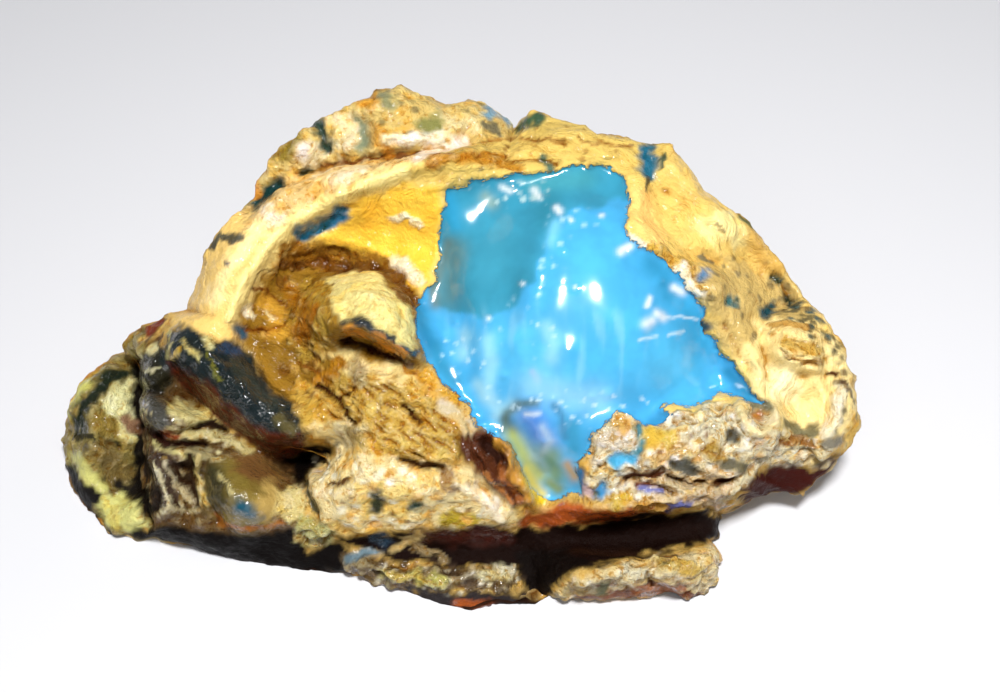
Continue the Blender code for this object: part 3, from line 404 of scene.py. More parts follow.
# Streaks and spots, name: (kind, colour, half width, line)
STREAKS = {
    "rim_fleck": ("resin", (26, 62, 62), 0.55, [(-17.9, 12.3), (-17, 13.2), (-15.8, 14.1)]),
    "rim_crack": ("crack", (66, 70, 52), 0.35, [(-14, 15.3), (-13, 15.7), (-12.1, 15.5)]),
    "rim_crack_thin": ("crack", (132, 84, 40), 0.22, [(-12.1, 15.5), (-9.6, 16.2), (-6, 16.7), (-3, 16.9)]),
    # painted highlight on the rim
    "rim_glint": ("chalk", (255, 236, 205), 0.6, [(-16.6, 11.6), (-16.2, 11)]),
    # painted highlights on the rim
    "rim_pale": ("chalk", (255, 232, 180), 0.6, [(-12.4, 14.9), (-10, 14.8), (-8.4, 15.4)]),
    "rim_pale_low": ("smooth", (255, 226, 156), 0.7, [(-21.4, 4), (-19.6, 7.6), (-17.4, 10.6)]),
    # painted highlight along the rim's inner crest
    "rim_crest": ("smooth", (255, 232, 150), 0.7, [
        (-19.6, 3), (-18, 6), (-16, 9), (-13.2, 11.4), (-9.6, 13.3), (-5, 15.2),
    ]),
    "rim_dirt": ("crack", (92, 88, 70), 0.4, [(-21.7, 8.8), (-20.8, 9.3), (-19.4, 9.4)]),
    "rim_dot": ("crack", (104, 96, 92), 0.35, [(-20.3, 7.1)]),
    "rim_orange": ("crust", (236, 160, 60), 0.5, [(-18, 13.6), (-17.6, 14.3)]),
    "crown_orange": ("crust", (246, 178, 62), 1.0, [(-7.8, 21.4)]),
    "crown_orange_low": ("crust", (240, 186, 86), 0.9, [(-7.4, 18.4), (-6.2, 17.6)]),
    "crown_grey": ("resin", (126, 134, 104), 0.9, [(-9, 19), (-8.4, 17.8)]),
    "crown_green": ("resin", (134, 132, 72), 0.8, [(-3, 19.4), (-1.7, 19.1)]),
    "crown_top_grey": ("resin", (142, 140, 98), 0.6, [(-6.6, 21.7), (-6, 20.8)]),
    "crown_white": ("chalk", (255, 244, 214), 0.5, [(-6.2, 18), (-4.4, 18), (-2.4, 17.9), (-1, 18.6)]),
    "crown_cream": ("crust", (252, 232, 176), 0.9, [(-12.6, 16.6), (-10.8, 17.4), (-9.8, 18.6)]),
    "crown_cream_right": ("crust", (250, 226, 160), 0.8, [(-0.6, 19.6), (1.2, 19.4)]),
    "crown_white_low": ("chalk", (255, 238, 214), 0.45, [(-3.6, 16.4), (-1.4, 17.4), (0.4, 18)]),
    # painted highlight on the crown's left knob
    "crown_left_glint": ("chalk", (248, 236, 214), 0.7, [(-13.6, 16.9)]),
    # painted highlights on the crown's top
    "crown_top_glint": ("chalk", (250, 226, 176), 0.5, [(-11.6, 19.5), (-10, 19.6), (-9.4, 19)]),
    "crown_teal": ("resin", (54, 76, 66), 0.42, [(-12.7, 19.4), (-12, 18.4), (-11.4, 17)]),
    "crown_olive": ("crust", (158, 132, 44), 0.7, [(-15.4, 16.6), (-14.6, 18)]),
    "tip": ("resin", (118, 158, 176), 0.5, [(2.6, 20.6), (3.8, 20.2), (4.4, 19.6)]),
    "tip_speckle": ("crack", (112, 104, 78), 0.4, [(2.3, 19.1), (3.2, 18.5)]),
    "notch_green": ("resin", (62, 90, 66), 0.4, [(4.9, 19.2), (6, 19.3), (6.9, 19.9)]),
    "strata_line": ("crack", (188, 146, 70), 0.16, [(1.6, 16.6), (3.6, 16.3), (6.6, 16.1), (8.4, 15.9)]),
    "strata_line_up": ("crack", (188, 146, 74), 0.18, [(2, 17.7), (4.4, 18), (7, 17.9), (9.2, 17.6)]),
    "strata_line_right": ("crack", (184, 142, 72), 0.16, [
        (10.4, 18), (12, 17.4), (13.4, 17.2), (15.2, 17.4),
    ]),
    "strata_teal": ("resin", (84, 112, 92), 0.3, [(7.2, 16.4), (7.6, 15.4)]),
    "strata_shade": ("crust", (214, 152, 50), 0.5, [(-2.4, 15.9), (1, 16.3), (5, 15.6)]),
    "bowl_blue": ("resin", (36, 112, 152), 0.62, [
        (-13.9, 9.6), (-12.6, 10.2), (-11.4, 10.8), (-10.4, 11.7),
    ]),
    "bowl_teal": ("resin", (46, 82, 102), 0.42, [(-19.3, 1.7), (-19.1, 1)]),
    # painted shade in the groove above the lump
    "bowl_dark": ("crust", (124, 80, 26), 0.4, [
        (-15.6, 7), (-12.6, 7.3), (-9.6, 7), (-7.2, 6.9), (-5.6, 5.8), (-4.3, 4.2), (-3.9, 2.6),
    ]),
    "bowl_crack": ("crack", (120, 66, 14), 0.18, [(-17.8, 5.1), (-16.6, 4.6), (-15.4, 3.8)]),
    "bowl_crack_low": ("crack", (128, 74, 16), 0.18, [(-18.6, 1.5), (-16.8, 1.2), (-15.2, 1.9)]),
    "bowl_crack_side": ("crack", (132, 78, 18), 0.16, [(-13.6, -1.6), (-11.6, -2.2), (-9.9, -2)]),
    # painted highlights on this line and the next: white glints on the slope
    "bowl_glint": ("spark", (255, 244, 206), 0.3, [(-5.3, 11), (-4.6, 11.3), (-4, 10.9), (-3.3, 10.3)]),
    "bowl_white_low": ("spark", (255, 240, 204), 0.55, [(-5.2, 7.2), (-4.2, 6.1), (-3.4, 5.6)]),
    "bowl_mottle": ("crust", (176, 118, 26), 0.7, [(-14.6, 4.6), (-13, 3), (-14, 0.8)]),
    "bowl_mottle_low": ("crust", (190, 130, 30), 0.6, [(-12, -2.8), (-10.4, -1.6)]),
    "bowl_gold": ("smooth", (204, 152, 50), 0.8, [(-16.6, 3.6), (-15.6, 1)]),
    # painted highlights on this line and the next: white glints in the bowl
    "slope_glint": ("spark", (255, 244, 206), 0.3, [(-18.3, 3.4), (-18.1, 2.7)]),
    "slope_white_low": ("spark", (252, 226, 160), 0.24, [(-16.7, 3), (-16.4, 2.5)]),
    "lip_top": ("resin", (40, 46, 50), 0.3, [
        (-9.9, 2), (-8.2, 2.1), (-6.8, 1.3), (-5.2, 0.1), (-3.9, -0.5),
    ]),
    "lip_low": ("resin", (226, 146, 44), 0.32, [(-9.8, 1.2), (-8.3, 1.3), (-6.8, 0.6), (-5, -0.4)]),
    "lip_shadow": ("crust", (84, 48, 18), 0.3, [
        (-10.1, 0.5), (-8.8, 0.1), (-7, -0.3), (-5.2, -1), (-4.2, -1.4),
    ]),
    "lip_orange": ("crust", (202, 140, 40), 0.4, [(-4.6, -1.9), (-2.6, -2.9), (-1.2, -3.7), (-0.2, -4.8)]),
    "belly_crack": ("crack", (70, 38, 12), 0.24, [(-12.1, -3.4), (-11, -4.2), (-10, -5.6), (-9.2, -6.6)]),
    "belly_crack_branch": ("crack", (96, 54, 16), 0.16, [(-10.6, -4.6), (-9.8, -4.3), (-9.2, -3.6)]),
    "belly_crack_mid": ("crack", (84, 48, 16), 0.24, [(-5, -5.2), (-4.1, -6), (-3.4, -6.5)]),
    "belly_seam": ("crack", (70, 46, 22), 0.24, [(-5, -10.1), (-3.4, -10.6), (-1.6, -10.8)]),
    "belly_grey": ("crust", (190, 166, 110), 0.7, [(-9.2, -1.7), (-8.8, -2.8)]),
    "belly_grey_low": ("crust", (170, 150, 96), 0.6, [(-9.4, -7.4), (-8.6, -8.2)]),
    "belly_pale": ("chalk", (214, 196, 158), 0.6, [(-1.2, -5.3), (0, -6), (0.8, -6.8)]),
    "belly_edge": ("crust", (236, 178, 60), 0.45, [(-2.9, -2.6), (-1.6, -3.4), (-0.4, -4.7)]),
    "crust_pit": ("crack", (92, 62, 34), 0.24, [(-10.9, -12), (-10.2, -12.1), (-9.6, -11.6)]),
    "dark_spot": ("resin", (54, 58, 38), 0.6, [(-7.4, -14.1), (-7.4, -13.4)]),
    "dark_spot_up": ("resin", (98, 92, 62), 0.35, [(-6.9, -12.6)]),
    "green_spot": ("resin", (36, 58, 44), 0.45, [(-4.1, -14), (-3.5, -14)]),
    "notch_line": ("resin", (74, 72, 48), 0.26, [(-13.6, -11.9), (-13.1, -13), (-12.4, -14.4)]),
    "chalk_ridge": ("chalk", (255, 238, 200), 0.5, [
        (-0.8, -11.9), (0.8, -12.4), (2.2, -13.3), (3.8, -14.9),
    ]),
    "lilac": ("crust", (176, 150, 116), 0.6, [(-1.4, -11.1), (-0.6, -12.2)]),
    # painted shade in the hollow
    "hollow_shade": ("dark", (40, 18, 10), 0.5, [(2, -8.2), (3, -8.8), (3.4, -9.6)]),
    "hollow_sheen": ("resin", (150, 90, 44), 0.3, [(3.6, -10.2), (4.6, -12), (5.4, -13.4)]),
    "hollow_streak": ("resin", (176, 112, 56), 0.22, [(2.2, -10.8), (3.4, -12.2), (4.4, -13.4)]),
    "hollow_ridge": ("resin", (190, 136, 52), 0.3, [
        (3.4, -7.9), (4.2, -9), (4.6, -10.4), (5.6, -12), (6.4, -13.8),
    ]),
    "yellow_bit": ("resin", (244, 206, 36), 0.4, [(6, -11.2), (6.6, -12.4), (7.2, -13.2)]),
    "recess_sheen": ("deep", (62, 26, 18), 0.6, [(-4, -16.6), (0, -16.6), (4, -16.4)]),
    "recess_bit": ("chalk", (206, 180, 120), 0.3, [(-5.8, -17.3), (-4.6, -17), (-3.6, -16.6)]),
    "recess_blue": ("resin", (42, 60, 76), 0.5, [(-7.4, -16.6), (-6.6, -16.7)]),
    "ledge_blue": ("resin", (104, 126, 138), 0.45, [(-9.2, -18.4), (-8, -18.2), (-7.4, -18)]),
    "ledge_bit": ("crust", (150, 130, 92), 0.35, [(-4, -17.6), (-2.4, -18.2), (-1.4, -18.6)]),
    "ledge_yellow": ("crumb", (214, 202, 118), 0.45, [(-6.4, -19.9), (-5, -19.9), (-4, -19.6)]),
    "ledge_yellow_mid": ("crumb", (214, 206, 108), 0.45, [(-3.4, -20.4), (-1.6, -20.4)]),
    "ledge_pale": ("crumb", (232, 222, 176), 0.6, [(1.9, -20.1), (3.4, -19.6), (4.2, -19.9)]),
    "ledge_orange": ("resin", (168, 84, 38), 0.35, [(-0.4, -22.3), (1.4, -22.6), (2.8, -22.7)]),
    "cream_lump": ("crumb", (204, 200, 132), 1.0, [(-13.4, -15.9), (-12, -16.3)]),
    "left_orange_edge": ("resin", (150, 90, 30), 0.2, [
        (-21.6, -14.6), (-20.4, -15.5), (-18.8, -15.9), (-16.6, -15.6), (-15.2, -15.5),
    ]),
    "lens_dark": ("lens", (54, 50, 26), 1.0, [(-21.4, -11), (-21.2, -13.6)]),
    "lens_gold": ("lens", (180, 150, 82), 0.9, [(-16.4, -12.6), (-16.8, -14.4)]),
    # painted highlights: pale dots on the lens
    "lens_glints": ("chalk", (196, 184, 128), 0.22, [(-20.8, -11.4), (-20, -11.9), (-19.6, -12.8)]),
    "lens_blue": ("lens", (24, 76, 94), 0.6, [(-18.9, -13.9), (-17.9, -14.4)]),
    "tongue_blue": ("resin", (38, 60, 86), 0.6, [(-20.4, -0.1), (-19.6, -0.4)]),
    # painted sheen: a grey reflection on the tongue's top
    "tongue_sheen": ("resin", (48, 54, 48), 0.6, [(-19.4, -1.8), (-18, -3.2), (-16.4, -4.8)]),
    "tongue_tip": ("resin", (92, 84, 50), 0.6, [(-15.6, -6.2), (-14.4, -7.6)]),
    "tongue_olive": ("resin", (112, 112, 40), 0.14, [(-22, -0.9), (-21.6, -2), (-20.8, -3.2)]),
    "tongue_yellow": ("crust", (176, 148, 40), 0.28, [(-24.6, -1), (-24.2, -0.5)]),
    "tongue_cream": ("chalk", (206, 196, 130), 0.2, [(-24, 0.4), (-23.4, -0.6), (-22.8, -1.2)]),
    "tongue_ridge": ("chalk", (190, 180, 120), 0.14, [(-25.2, 1), (-25, 0), (-25.3, -1)]),
    "tongue_top_cream": ("chalk", (214, 208, 150), 0.3, [(-22, 0.4), (-21.6, -0.2)]),
    "red_smudge": ("dark", (124, 52, 28), 0.5, [(-27.2, 1.3), (-26, 2.1)]),
    "lobe_cream": ("chalk", (226, 216, 160), 0.4, [(-27.3, -0.6), (-26.4, -0.1)]),
    # painted highlights on the upper lobe
    "lobe_glint": ("spark", (176, 170, 130), 0.1, [(-27.7, -2.1), (-27, -2.3), (-25.9, -2.1)]),
    # painted highlight on the second lobe
    "lobe_second_glint": ("chalk", (188, 190, 196), 0.25, [(-27.6, -4.9), (-27, -5.2)]),
    "fold_cream": ("spark", (226, 212, 140), 0.65, [(-24.7, -5.5), (-23.4, -6), (-22.2, -6.3)]),
    "fold_cream_end": ("crust", (190, 172, 110), 0.4, [(-21.6, -6.4), (-20.9, -6.9)]),
    "fold_cream_low": ("crust", (216, 200, 136), 0.4, [
        (-25, -7.5), (-22.8, -7.8), (-20.8, -7.6), (-19.4, -8.4), (-18.4, -9.2),
    ]),
    "fold_line": ("chalk", (206, 196, 130), 0.2, [(-26.9, -8.2), (-25, -9.2), (-23.2, -10)]),
    "fold_pale": ("crust", (178, 164, 116), 0.5, [(-23.6, -9.2), (-22, -9.3), (-20.8, -9.7)]),
    # painted shade in the crevices of the folds, on this line and the next
    "fold_dark": ("dark", (34, 20, 12), 0.28, [(-23, -7), (-21.6, -6.9), (-20.6, -7)]),
    "fold_dark_low": ("dark", (42, 20, 12), 0.32, [
        (-27.2, -7.6), (-25.4, -8.3), (-23.6, -8.6), (-22.2, -8.6),
    ]),
    "fold_brown": ("resin", (128, 58, 26), 0.3, [(-25.8, -7.4), (-24.6, -7.7)]),
    "fold_dark_third": ("crack", (46, 32, 20), 0.24, [(-26.6, -9.4), (-25, -10.2), (-23.6, -10.6)]),
    "upright_wall": ("resin", (70, 54, 44), 1.0, [(-26.4, -9.8), (-25.2, -12), (-25, -13.6)]),
    "upright_a": ("spark", (206, 196, 158), 0.17, [
        (-26.6, -10), (-25.8, -11.6), (-25.3, -13.6), (-25.5, -14.6),
    ]),
    "upright_d": ("spark", (188, 176, 138), 0.14, [
        (-25.9, -9.8), (-25, -11.4), (-24.4, -13), (-24.2, -14),
    ]),
    "upright_b": ("crust", (206, 184, 112), 0.28, [
        (-22.7, -9.6), (-22.9, -11), (-22.4, -12.6), (-21.9, -13.8),
    ]),
    "upright_foot": ("spark", (168, 156, 118), 0.28, [(-25.8, -14.2), (-24.2, -14.6), (-22.8, -14.2)]),
    "upright_c": ("chalk", (186, 170, 130), 0.4, [(-24.6, -12.2), (-24, -12.8), (-23.6, -13.6)]),
    # painted shade in the gaps between the uprights, in the three gaps that follow
    "upright_gap": ("dark", (38, 30, 24), 0.34, [
        (-27.8, -9.6), (-27, -11.4), (-26.4, -13), (-26.6, -14.2),
    ]),
    "upright_gap_b": ("dark", (60, 42, 28), 0.32, [(-25, -10.6), (-24.4, -11.6), (-23.6, -12)]),
    "upright_gap_c": ("dark", (58, 44, 30), 0.28, [
        (-23.6, -9.6), (-23.3, -11), (-23.4, -12.4), (-23, -13.8),
    ]),
    # painted shade in the gap between the lobes
    "lobe_gap": ("crack", (22, 18, 14), 0.5, [
        (-28.2, -2), (-28.4, -5.5), (-28.1, -8.4), (-28.3, -11), (-27.6, -13.4), (-27, -15),
    ]),
    "far_band": ("resin", (28, 36, 24), 0.55, [
        (-29.2, -2.5), (-30.4, -2.8), (-31.6, -3.8), (-32.8, -5.5), (-33.3, -7.6),
    ]),
    "far_red": ("resin", (140, 104, 76), 0.45, [(-28.9, -6.4), (-28.7, -7.2)]),
    "far_rim": ("smooth", (200, 196, 104), 0.4, [(-31.2, -1.6), (-33, -3.4), (-34, -5.6)]),
    "far_lower": ("smooth", (196, 192, 112), 0.55, [(-33.3, -9.6), (-32.4, -11.2), (-31, -12.4)]),
    "far_line": ("crack", (60, 56, 36), 0.26, [(-33.4, -7.8), (-31.2, -8.4), (-29.8, -8.9)]),
    "far_olive": ("crust", (132, 112, 62), 0.9, [(-31.4, -8.8), (-30, -10.4), (-29.4, -11.4)]),
    # painted shade low in the gap beside the far lobe
    "far_low_dark": ("dark", (24, 20, 16), 0.5, [(-29.5, -12), (-28.4, -12.7), (-27.6, -13.6)]),
    "right_blotch": ("resin", (34, 104, 130), 0.6, [(16.2, 17.2), (16.5, 16.2), (16.4, 15.2)]),
    "right_blotch_edge": ("crack", (70, 84, 62), 0.16, [(17.5, 16.6), (17.4, 15.6)]),
    "right_blotch_tip": ("crack", (98, 88, 58), 0.26, [(16.2, 14.5), (16, 13.6)]),
    "right_flush": ("smooth", (255, 204, 118), 0.9, [(15.6, 12.8), (15.8, 10.8), (17, 9.6)]),
    # painted highlights at the window's edge
    "flush_glint": ("spark", (255, 244, 214), 0.6, [(15, 9), (15.6, 8.4)]),
    "edge_yellow": ("crumb", (252, 206, 84), 0.5, [(16.8, 8.3), (18, 7.8)]),
    "right_valley": ("smooth", (222, 180, 90), 0.5, [(18, 7.9), (20.2, 7.8), (22.4, 7.4)]),
    "right_grey": ("crack", (132, 118, 84), 0.2, [(21, 7.6), (22, 7.3)]),
    "right_grey_up": ("crack", (176, 156, 108), 0.16, [(22.3, 10.6), (23, 9.8)]),
    "window_crumb": ("crumb", (255, 206, 96), 0.5, [(17.4, 8), (18.4, 7.4), (19.8, 6.6), (20.8, 5.2)]),
    # painted highlights at the window's edge
    "edge_white": ("spark", (255, 248, 226), 0.5, [(19.2, 6.8), (19.7, 5.6), (20.7, 4.7)]),
    "pit_blue": ("resin", (98, 142, 184), 0.52, [(21.2, 6.1)]),
    "pit_teal": ("resin", (62, 122, 130), 0.5, [(23.6, 4)]),
    "pit_dark": ("resin", (26, 70, 80), 0.6, [(26.7, 3.1)]),
    "pit_grey": ("resin", (62, 92, 92), 0.42, [(27.4, 6), (27.7, 5.6)]),
    "pit_far": ("resin", (44, 72, 74), 0.42, [(28.6, 4), (29, 3.6)]),
    "pit_edge": ("resin", (40, 70, 84), 0.4, [(21.2, 1.9), (21.5, 1.3)]),
    "right_top_dirt": ("crack", (92, 104, 64), 0.35, [(24.6, 11.4), (25.4, 10.8), (26, 10.2)]),
    "ear_line": ("crack", (196, 152, 76), 0.2, [(26.6, 1.8), (28.4, 2.1), (30.4, 1.8)]),
    "ear_shade": ("crust", (226, 184, 92), 0.5, [(28.4, 0.3), (29.8, -0.3), (31.2, -0.2)]),
    "ear_lid": ("crust", (186, 140, 66), 0.2, [(27.8, -0.6), (29.4, -1.3), (31, -1.4)]),
    "ear_white": ("smooth", (255, 240, 186), 0.9, [(27.2, -2.4), (28.6, -3.8)]),
    "ear_dot": ("crack", (84, 50, 24), 0.26, [(32, -2.2), (32.8, -2.4)]),
    "ear_dot_low": ("crack", (96, 78, 66), 0.3, [(33.3, -3), (33.6, -3.8)]),
    # painted highlight along the ear's edge
    "ear_edge": ("chalk", (248, 238, 206), 0.5, [(33.2, -4), (32.8, -5.8), (32, -7.6)]),
    "ear_low": ("crack", (126, 118, 84), 0.5, [(28.6, -6.9), (29.8, -7.4), (31, -7.5)]),
    "ear_grey": ("resin", (122, 116, 100), 0.5, [(32, -8.6), (33, -8.2)]),
    "ear_root": ("crumb", (176, 128, 72), 0.4, [(28.4, -8.6), (29.6, -8.2), (30.8, -8.8)]),
    "curl_ring": ("chalk", (246, 226, 168), 0.4, [
        (24.2, -5.2), (24.8, -6.9), (26.2, -7.6), (27.3, -6.6), (27.3, -5.4),
    ]),
    "curl_core": ("resin", (206, 140, 52), 0.5, [(25.9, -6.2)]),
    "curl_dark": ("resin", (112, 108, 82), 0.5, [(25.6, -5.1), (26.8, -5.2)]),
    "shelf_grey": ("crack", (96, 96, 88), 0.5, [(23.6, -7.8), (24.2, -8.2)]),
    "shelf_grey_low": ("crack", (92, 92, 82), 0.55, [(18.8, -10.2), (20.4, -10.6)]),
    "shelf_grey_right": ("crack", (104, 98, 76), 0.5, [(22.8, -10.4), (24.6, -10.6)]),
    "shelf_dark": ("crack", (86, 50, 30), 0.26, [(14.6, -11.6), (16.4, -11.3), (17.8, -10.9)]),
    "shelf_dark_mid": ("crack", (78, 44, 28), 0.24, [(18.2, -11.4), (19.8, -11.9), (21.2, -11.9)]),
    "shelf_dark_right": ("crack", (80, 48, 30), 0.24, [(21.6, -12.6), (22.6, -11.8), (24, -11.6)]),
    "shelf_gap": ("crack", (120, 70, 44), 0.22, [(15.6, -12.2), (17, -12.1), (18.6, -12.9)]),
    "shelf_lavender": ("resin", (112, 118, 176), 0.35, [(16, -12.6), (17.4, -12.9)]),
    "shelf_lavender_low": ("resin", (104, 110, 178), 0.3, [(18, -14), (19.4, -13.7), (20, -13.8)]),
    "shelf_blue": ("resin", (76, 172, 214), 0.75, [(13.4, -10.2), (14.6, -9.8)]),
    "shelf_blue_low": ("resin", (66, 150, 206), 0.5, [(11.9, -12.8), (12.6, -12.2)]),
    "shelf_teal": ("resin", (70, 122, 132), 0.35, [(15.4, -7), (15.6, -8.4), (15.2, -9)]),
    "shelf_blue_deep": ("resin", (42, 104, 156), 0.5, [(10.4, -12.4), (10.4, -11.2)]),
    "shelf_pink": ("resin", (186, 158, 156), 0.6, [(11, -12.6)]),
    "shelf_yellow": ("crumb", (246, 204, 74), 0.5, [(13.6, -13.2), (14.6, -12.9)]),
    "shelf_yellow_low": ("crumb", (240, 180, 78), 0.4, [(15.4, -14), (17.6, -14.1)]),
    "shelf_cream": ("crumb", (246, 222, 176), 0.55, [(18, -12.2), (20, -12.6), (22.4, -12.7)]),
    "shelf_cream_low": ("crumb", (236, 208, 170), 0.45, [(21.4, -13.6), (22.6, -13.4)]),
    "shelf_gold": ("crumb", (200, 160, 70), 0.5, [(21.8, -8.8), (22.4, -9.8)]),
    "shelf_white": ("crumb", (255, 240, 214), 0.8, [(12.4, -8), (14.2, -8.2)]),
    "shelf_orange": ("crumb", (250, 196, 96), 0.5, [(13.6, -6.6), (14.2, -7)]),
    "shelf_lime": ("crust", (234, 202, 92), 0.7, [(16.4, -7.8), (17.8, -7.8)]),
    "foot_white": ("crumb", (255, 244, 206), 0.6, [(14.2, -19.8), (16.4, -19.6)]),
    "foot_yellow": ("crumb", (232, 204, 118), 0.6, [(17.6, -19), (20.4, -19.4)]),
    "foot_grey": ("crack", (108, 108, 80), 0.4, [(11.6, -20.8), (12.6, -21.2)]),
    "foot_dark": ("crack", (92, 74, 48), 0.26, [(17.8, -18.4), (18.4, -18.2)]),
    "foot_brown": ("resin", (150, 94, 56), 0.4, [(16.2, -21.3), (18, -21), (19.4, -20.9)]),
    "foot_left": ("crust", (180, 160, 112), 0.5, [(8.4, -22), (9.8, -21.2), (11.6, -20.8)]),
}

# Window: its plain colour, and the upper left side, which is more teal and darker, partly as painted shade
# of a side turned from the light
WINDOW_BLUE = (76, 178, 232)
WINDOW_TEAL = (58, 152, 182)
TEAL_SIDE = [
    (-4, 16), (12, 16.4), (14.6, 15), (14.6, 12.6), (11.6, 12.4), (9.4, 11.6), (8.2, 10.4), (7.6, 8.4),
    (6.4, 5.8), (4.8, 3.8), (2.6, 2.4), (-0.6, 2.8), (-2.4, 4.2), (-4, 8),
]
TEAL_EDGE = (-0.4, 0.3)
TEAL_WANDER = [(1.6, 62.0, 0.7), (0.6, 63.0, 0.25)]

# Pale streaks in the middle of the window
STREAKY = [(-2, 3), (2, 3.4), (8, 4), (15, 4), (18, 0), (14, -4.6), (8, -4.6), (3, -6), (0, -3)]
STREAKY_SIZE = (0.8, 4, 1)
STREAKY_EDGE = (-1, 2)
STREAKY_RANGE = (0.0, 0.6)
STREAKY_STRENGTH = 0.3
WINDOW_PALE = (168, 224, 250)

# Tones of the window, name: (colour, half width, line)
WINDOW_TONES = {
    "mid_teal": ((70, 168, 198), 1.6, [(3.4, 10), (2.6, 6.6)]),
    "upper_pale": ((74, 164, 178), 1.1, [(6.4, 14), (9, 14.4), (11, 14.6)]),
    "top_dark": ((48, 138, 160), 1.0, [(8, 12.4), (7.4, 10.6)]),
    "left_strip": ((48, 160, 206), 0.8, [(-0.9, 12.8), (-0.4, 10.4)]),
    "top_pale": ((138, 168, 160), 0.6, [(2.2, 12.9), (2.8, 12.4)]),
    "left_shade": ((112, 124, 112), 0.55, [(-0.9, 8.8), (-1.6, 6.6), (-2.2, 4.8), (-2.2, 3.6)]),
    "left_shade_wide": ((92, 140, 148), 1.0, [(-0.2, 8.6), (-0.8, 6), (-1, 4.2)]),
    "left_crescent": ((38, 128, 168), 0.8, [(-3.6, 3.4), (-3.2, 1.6), (-2.4, 0)]),
    "left_low": ((52, 146, 184), 0.8, [(-2, -0.6), (-1.2, -2), (-0.4, -3)]),
    "bright": ((84, 190, 242), 3.0, [(11, 8), (12.5, 3.5), (14, -0.6)]),
    "bright_low": ((92, 198, 246), 2.0, [(4.6, 0.6), (7, -2.6)]),
    "bright_right": ((88, 200, 250), 2.2, [(18, -1), (20, -2.6)]),
    "right_teal": ((48, 146, 190), 1.1, [(16.6, 7), (17.8, 6.2), (18.4, 4.6)]),
    "right_deep": ((56, 164, 214), 1.3, [(19.8, 3.4), (21.2, 0.4)]),
    "right_tip": ((38, 128, 168), 0.6, [(23.4, -2.4), (24.4, -3.4), (25.4, -4.4)]),
    "pale_streak": ((150, 214, 240), 0.7, [(2.5, 0.6), (2.7, -1.6), (2.4, -4.4)]),
    "pale_streak_left": ((150, 214, 238), 0.7, [(0.4, 1), (0.2, -0.6)]),
    "pale_streak_low": ((160, 218, 240), 0.6, [(1.6, -3.4), (3.4, -5.6)]),
    "pale_patch": ((150, 218, 250), 0.7, [(7.6, 1.6), (8.2, 0.2), (8, -1)]),
    "pale_patch_top": ((130, 212, 248), 0.5, [(8.4, 10.6), (8, 9)]),
    "pink_streak": ((172, 186, 226), 0.3, [(6.3, -2.2), (6.8, -3)]),
    "pale_low": ((158, 214, 232), 0.7, [(3.4, -6), (4.6, -5.2)]),
    "pale_middle": ((150, 214, 250), 1.5, [(6.4, -3.4), (9.6, -4.4), (12, -4.6)]),
    "lens_blue": ((84, 132, 220), 1.6, [(6.3, -6.4), (7.2, -8.2)]),
    "lens_middle": ((126, 176, 196), 1.0, [(6.8, -9.2), (7.6, -9.8)]),
    "lens_light": ((172, 200, 226), 0.4, [(7.2, -7), (7.9, -8.2), (7.4, -9.2)]),
    "lens_dark": ((74, 92, 92), 0.5, [(4, -6.4), (4.6, -7.4)]),
    # painted highlight on the lens
    "lens_shine": ((210, 226, 240), 0.22, [(5.8, -5.9), (6.8, -5.8)]),
    "lens_rim": ((88, 112, 104), 0.42, [(3.8, -7.2), (4.1, -5.9), (5.2, -5.1), (6.6, -4.9)]),
    "lens_rim_right": ((70, 132, 172), 0.35, [(8.2, -5.2), (9, -6.2), (9.2, -8)]),
    "lens_green": ((112, 158, 112), 0.8, [(8, -9.6), (8.4, -11.2)]),
    "lens_olive": ((188, 192, 60), 0.8, [(4.6, -8), (5.6, -9.6), (6.8, -11.2)]),
    "low_green": ((128, 140, 44), 0.5, [(7.8, -11.8), (8.6, -12.4)]),
    "low_yellow": ((250, 218, 50), 0.45, [(5.8, -10.8), (6.4, -12), (7.2, -12.8)]),
    "low_orange": ((206, 160, 96), 0.45, [(9.4, -10.4), (10, -11.4)]),
    "low_teal": ((60, 152, 190), 0.7, [(9.9, -7), (9.8, -9)]),
    # painted highlights: this line and the next fifteen are white spots and thin lines where the lamp
    # glints
    "white_right": ((250, 253, 255), 0.42, [(16.2, 1.8), (16.7, 2.1)]),
    "white_right_high": ((250, 253, 255), 0.4, [(17.2, 2.8), (17.7, 2.5)]),
    "white_right_top": ((246, 252, 255), 0.26, [(16.3, 3.5), (16.5, 4.2)]),
    "thread": ((214, 238, 250), 0.12, [(18, 2.5), (19.2, 2.5), (20.6, 2.3)]),
    "dashes": ((206, 236, 250), 0.13, [(15.6, 0.5), (17.2, 0.9)]),
    "dashes_right": ((206, 236, 250), 0.13, [(18.2, 0.9), (19.4, 1.3)]),
    "white_top": ((250, 253, 255), 0.3, [(8.4, 12), (8.7, 11.7)]),
    "white_top_low": ((240, 250, 255), 0.22, [(9.7, 11)]),
    "white_top_right": ((246, 252, 255), 0.22, [(12.4, 11.4)]),
    "white_top_left": ((240, 250, 250), 0.3, [(3.7, 13.8), (4.4, 13.5)]),
    "white_top_middle": ((246, 252, 252), 0.3, [(6.4, 13.6), (6.8, 13)]),
    "white_teal": ((240, 250, 255), 0.2, [(5.4, 5.4)]),
    "white_middle": ((236, 248, 255), 0.18, [(10, 5.1)]),
    "white_left": ((236, 248, 252), 0.2, [(2.5, 2.4)]),
    "white_edge": ((250, 253, 255), 0.34, [(14, 8.2), (14.8, 8.6)]),
    "white_edge_low": ((250, 253, 255), 0.36, [(18.7, 5.1), (19.4, 4.7)]),
    "hook_blue": ((52, 140, 190), 0.7, [(18.4, -6), (16.8, -6.8)]),
}
TONE_STRENGTH = 0.8
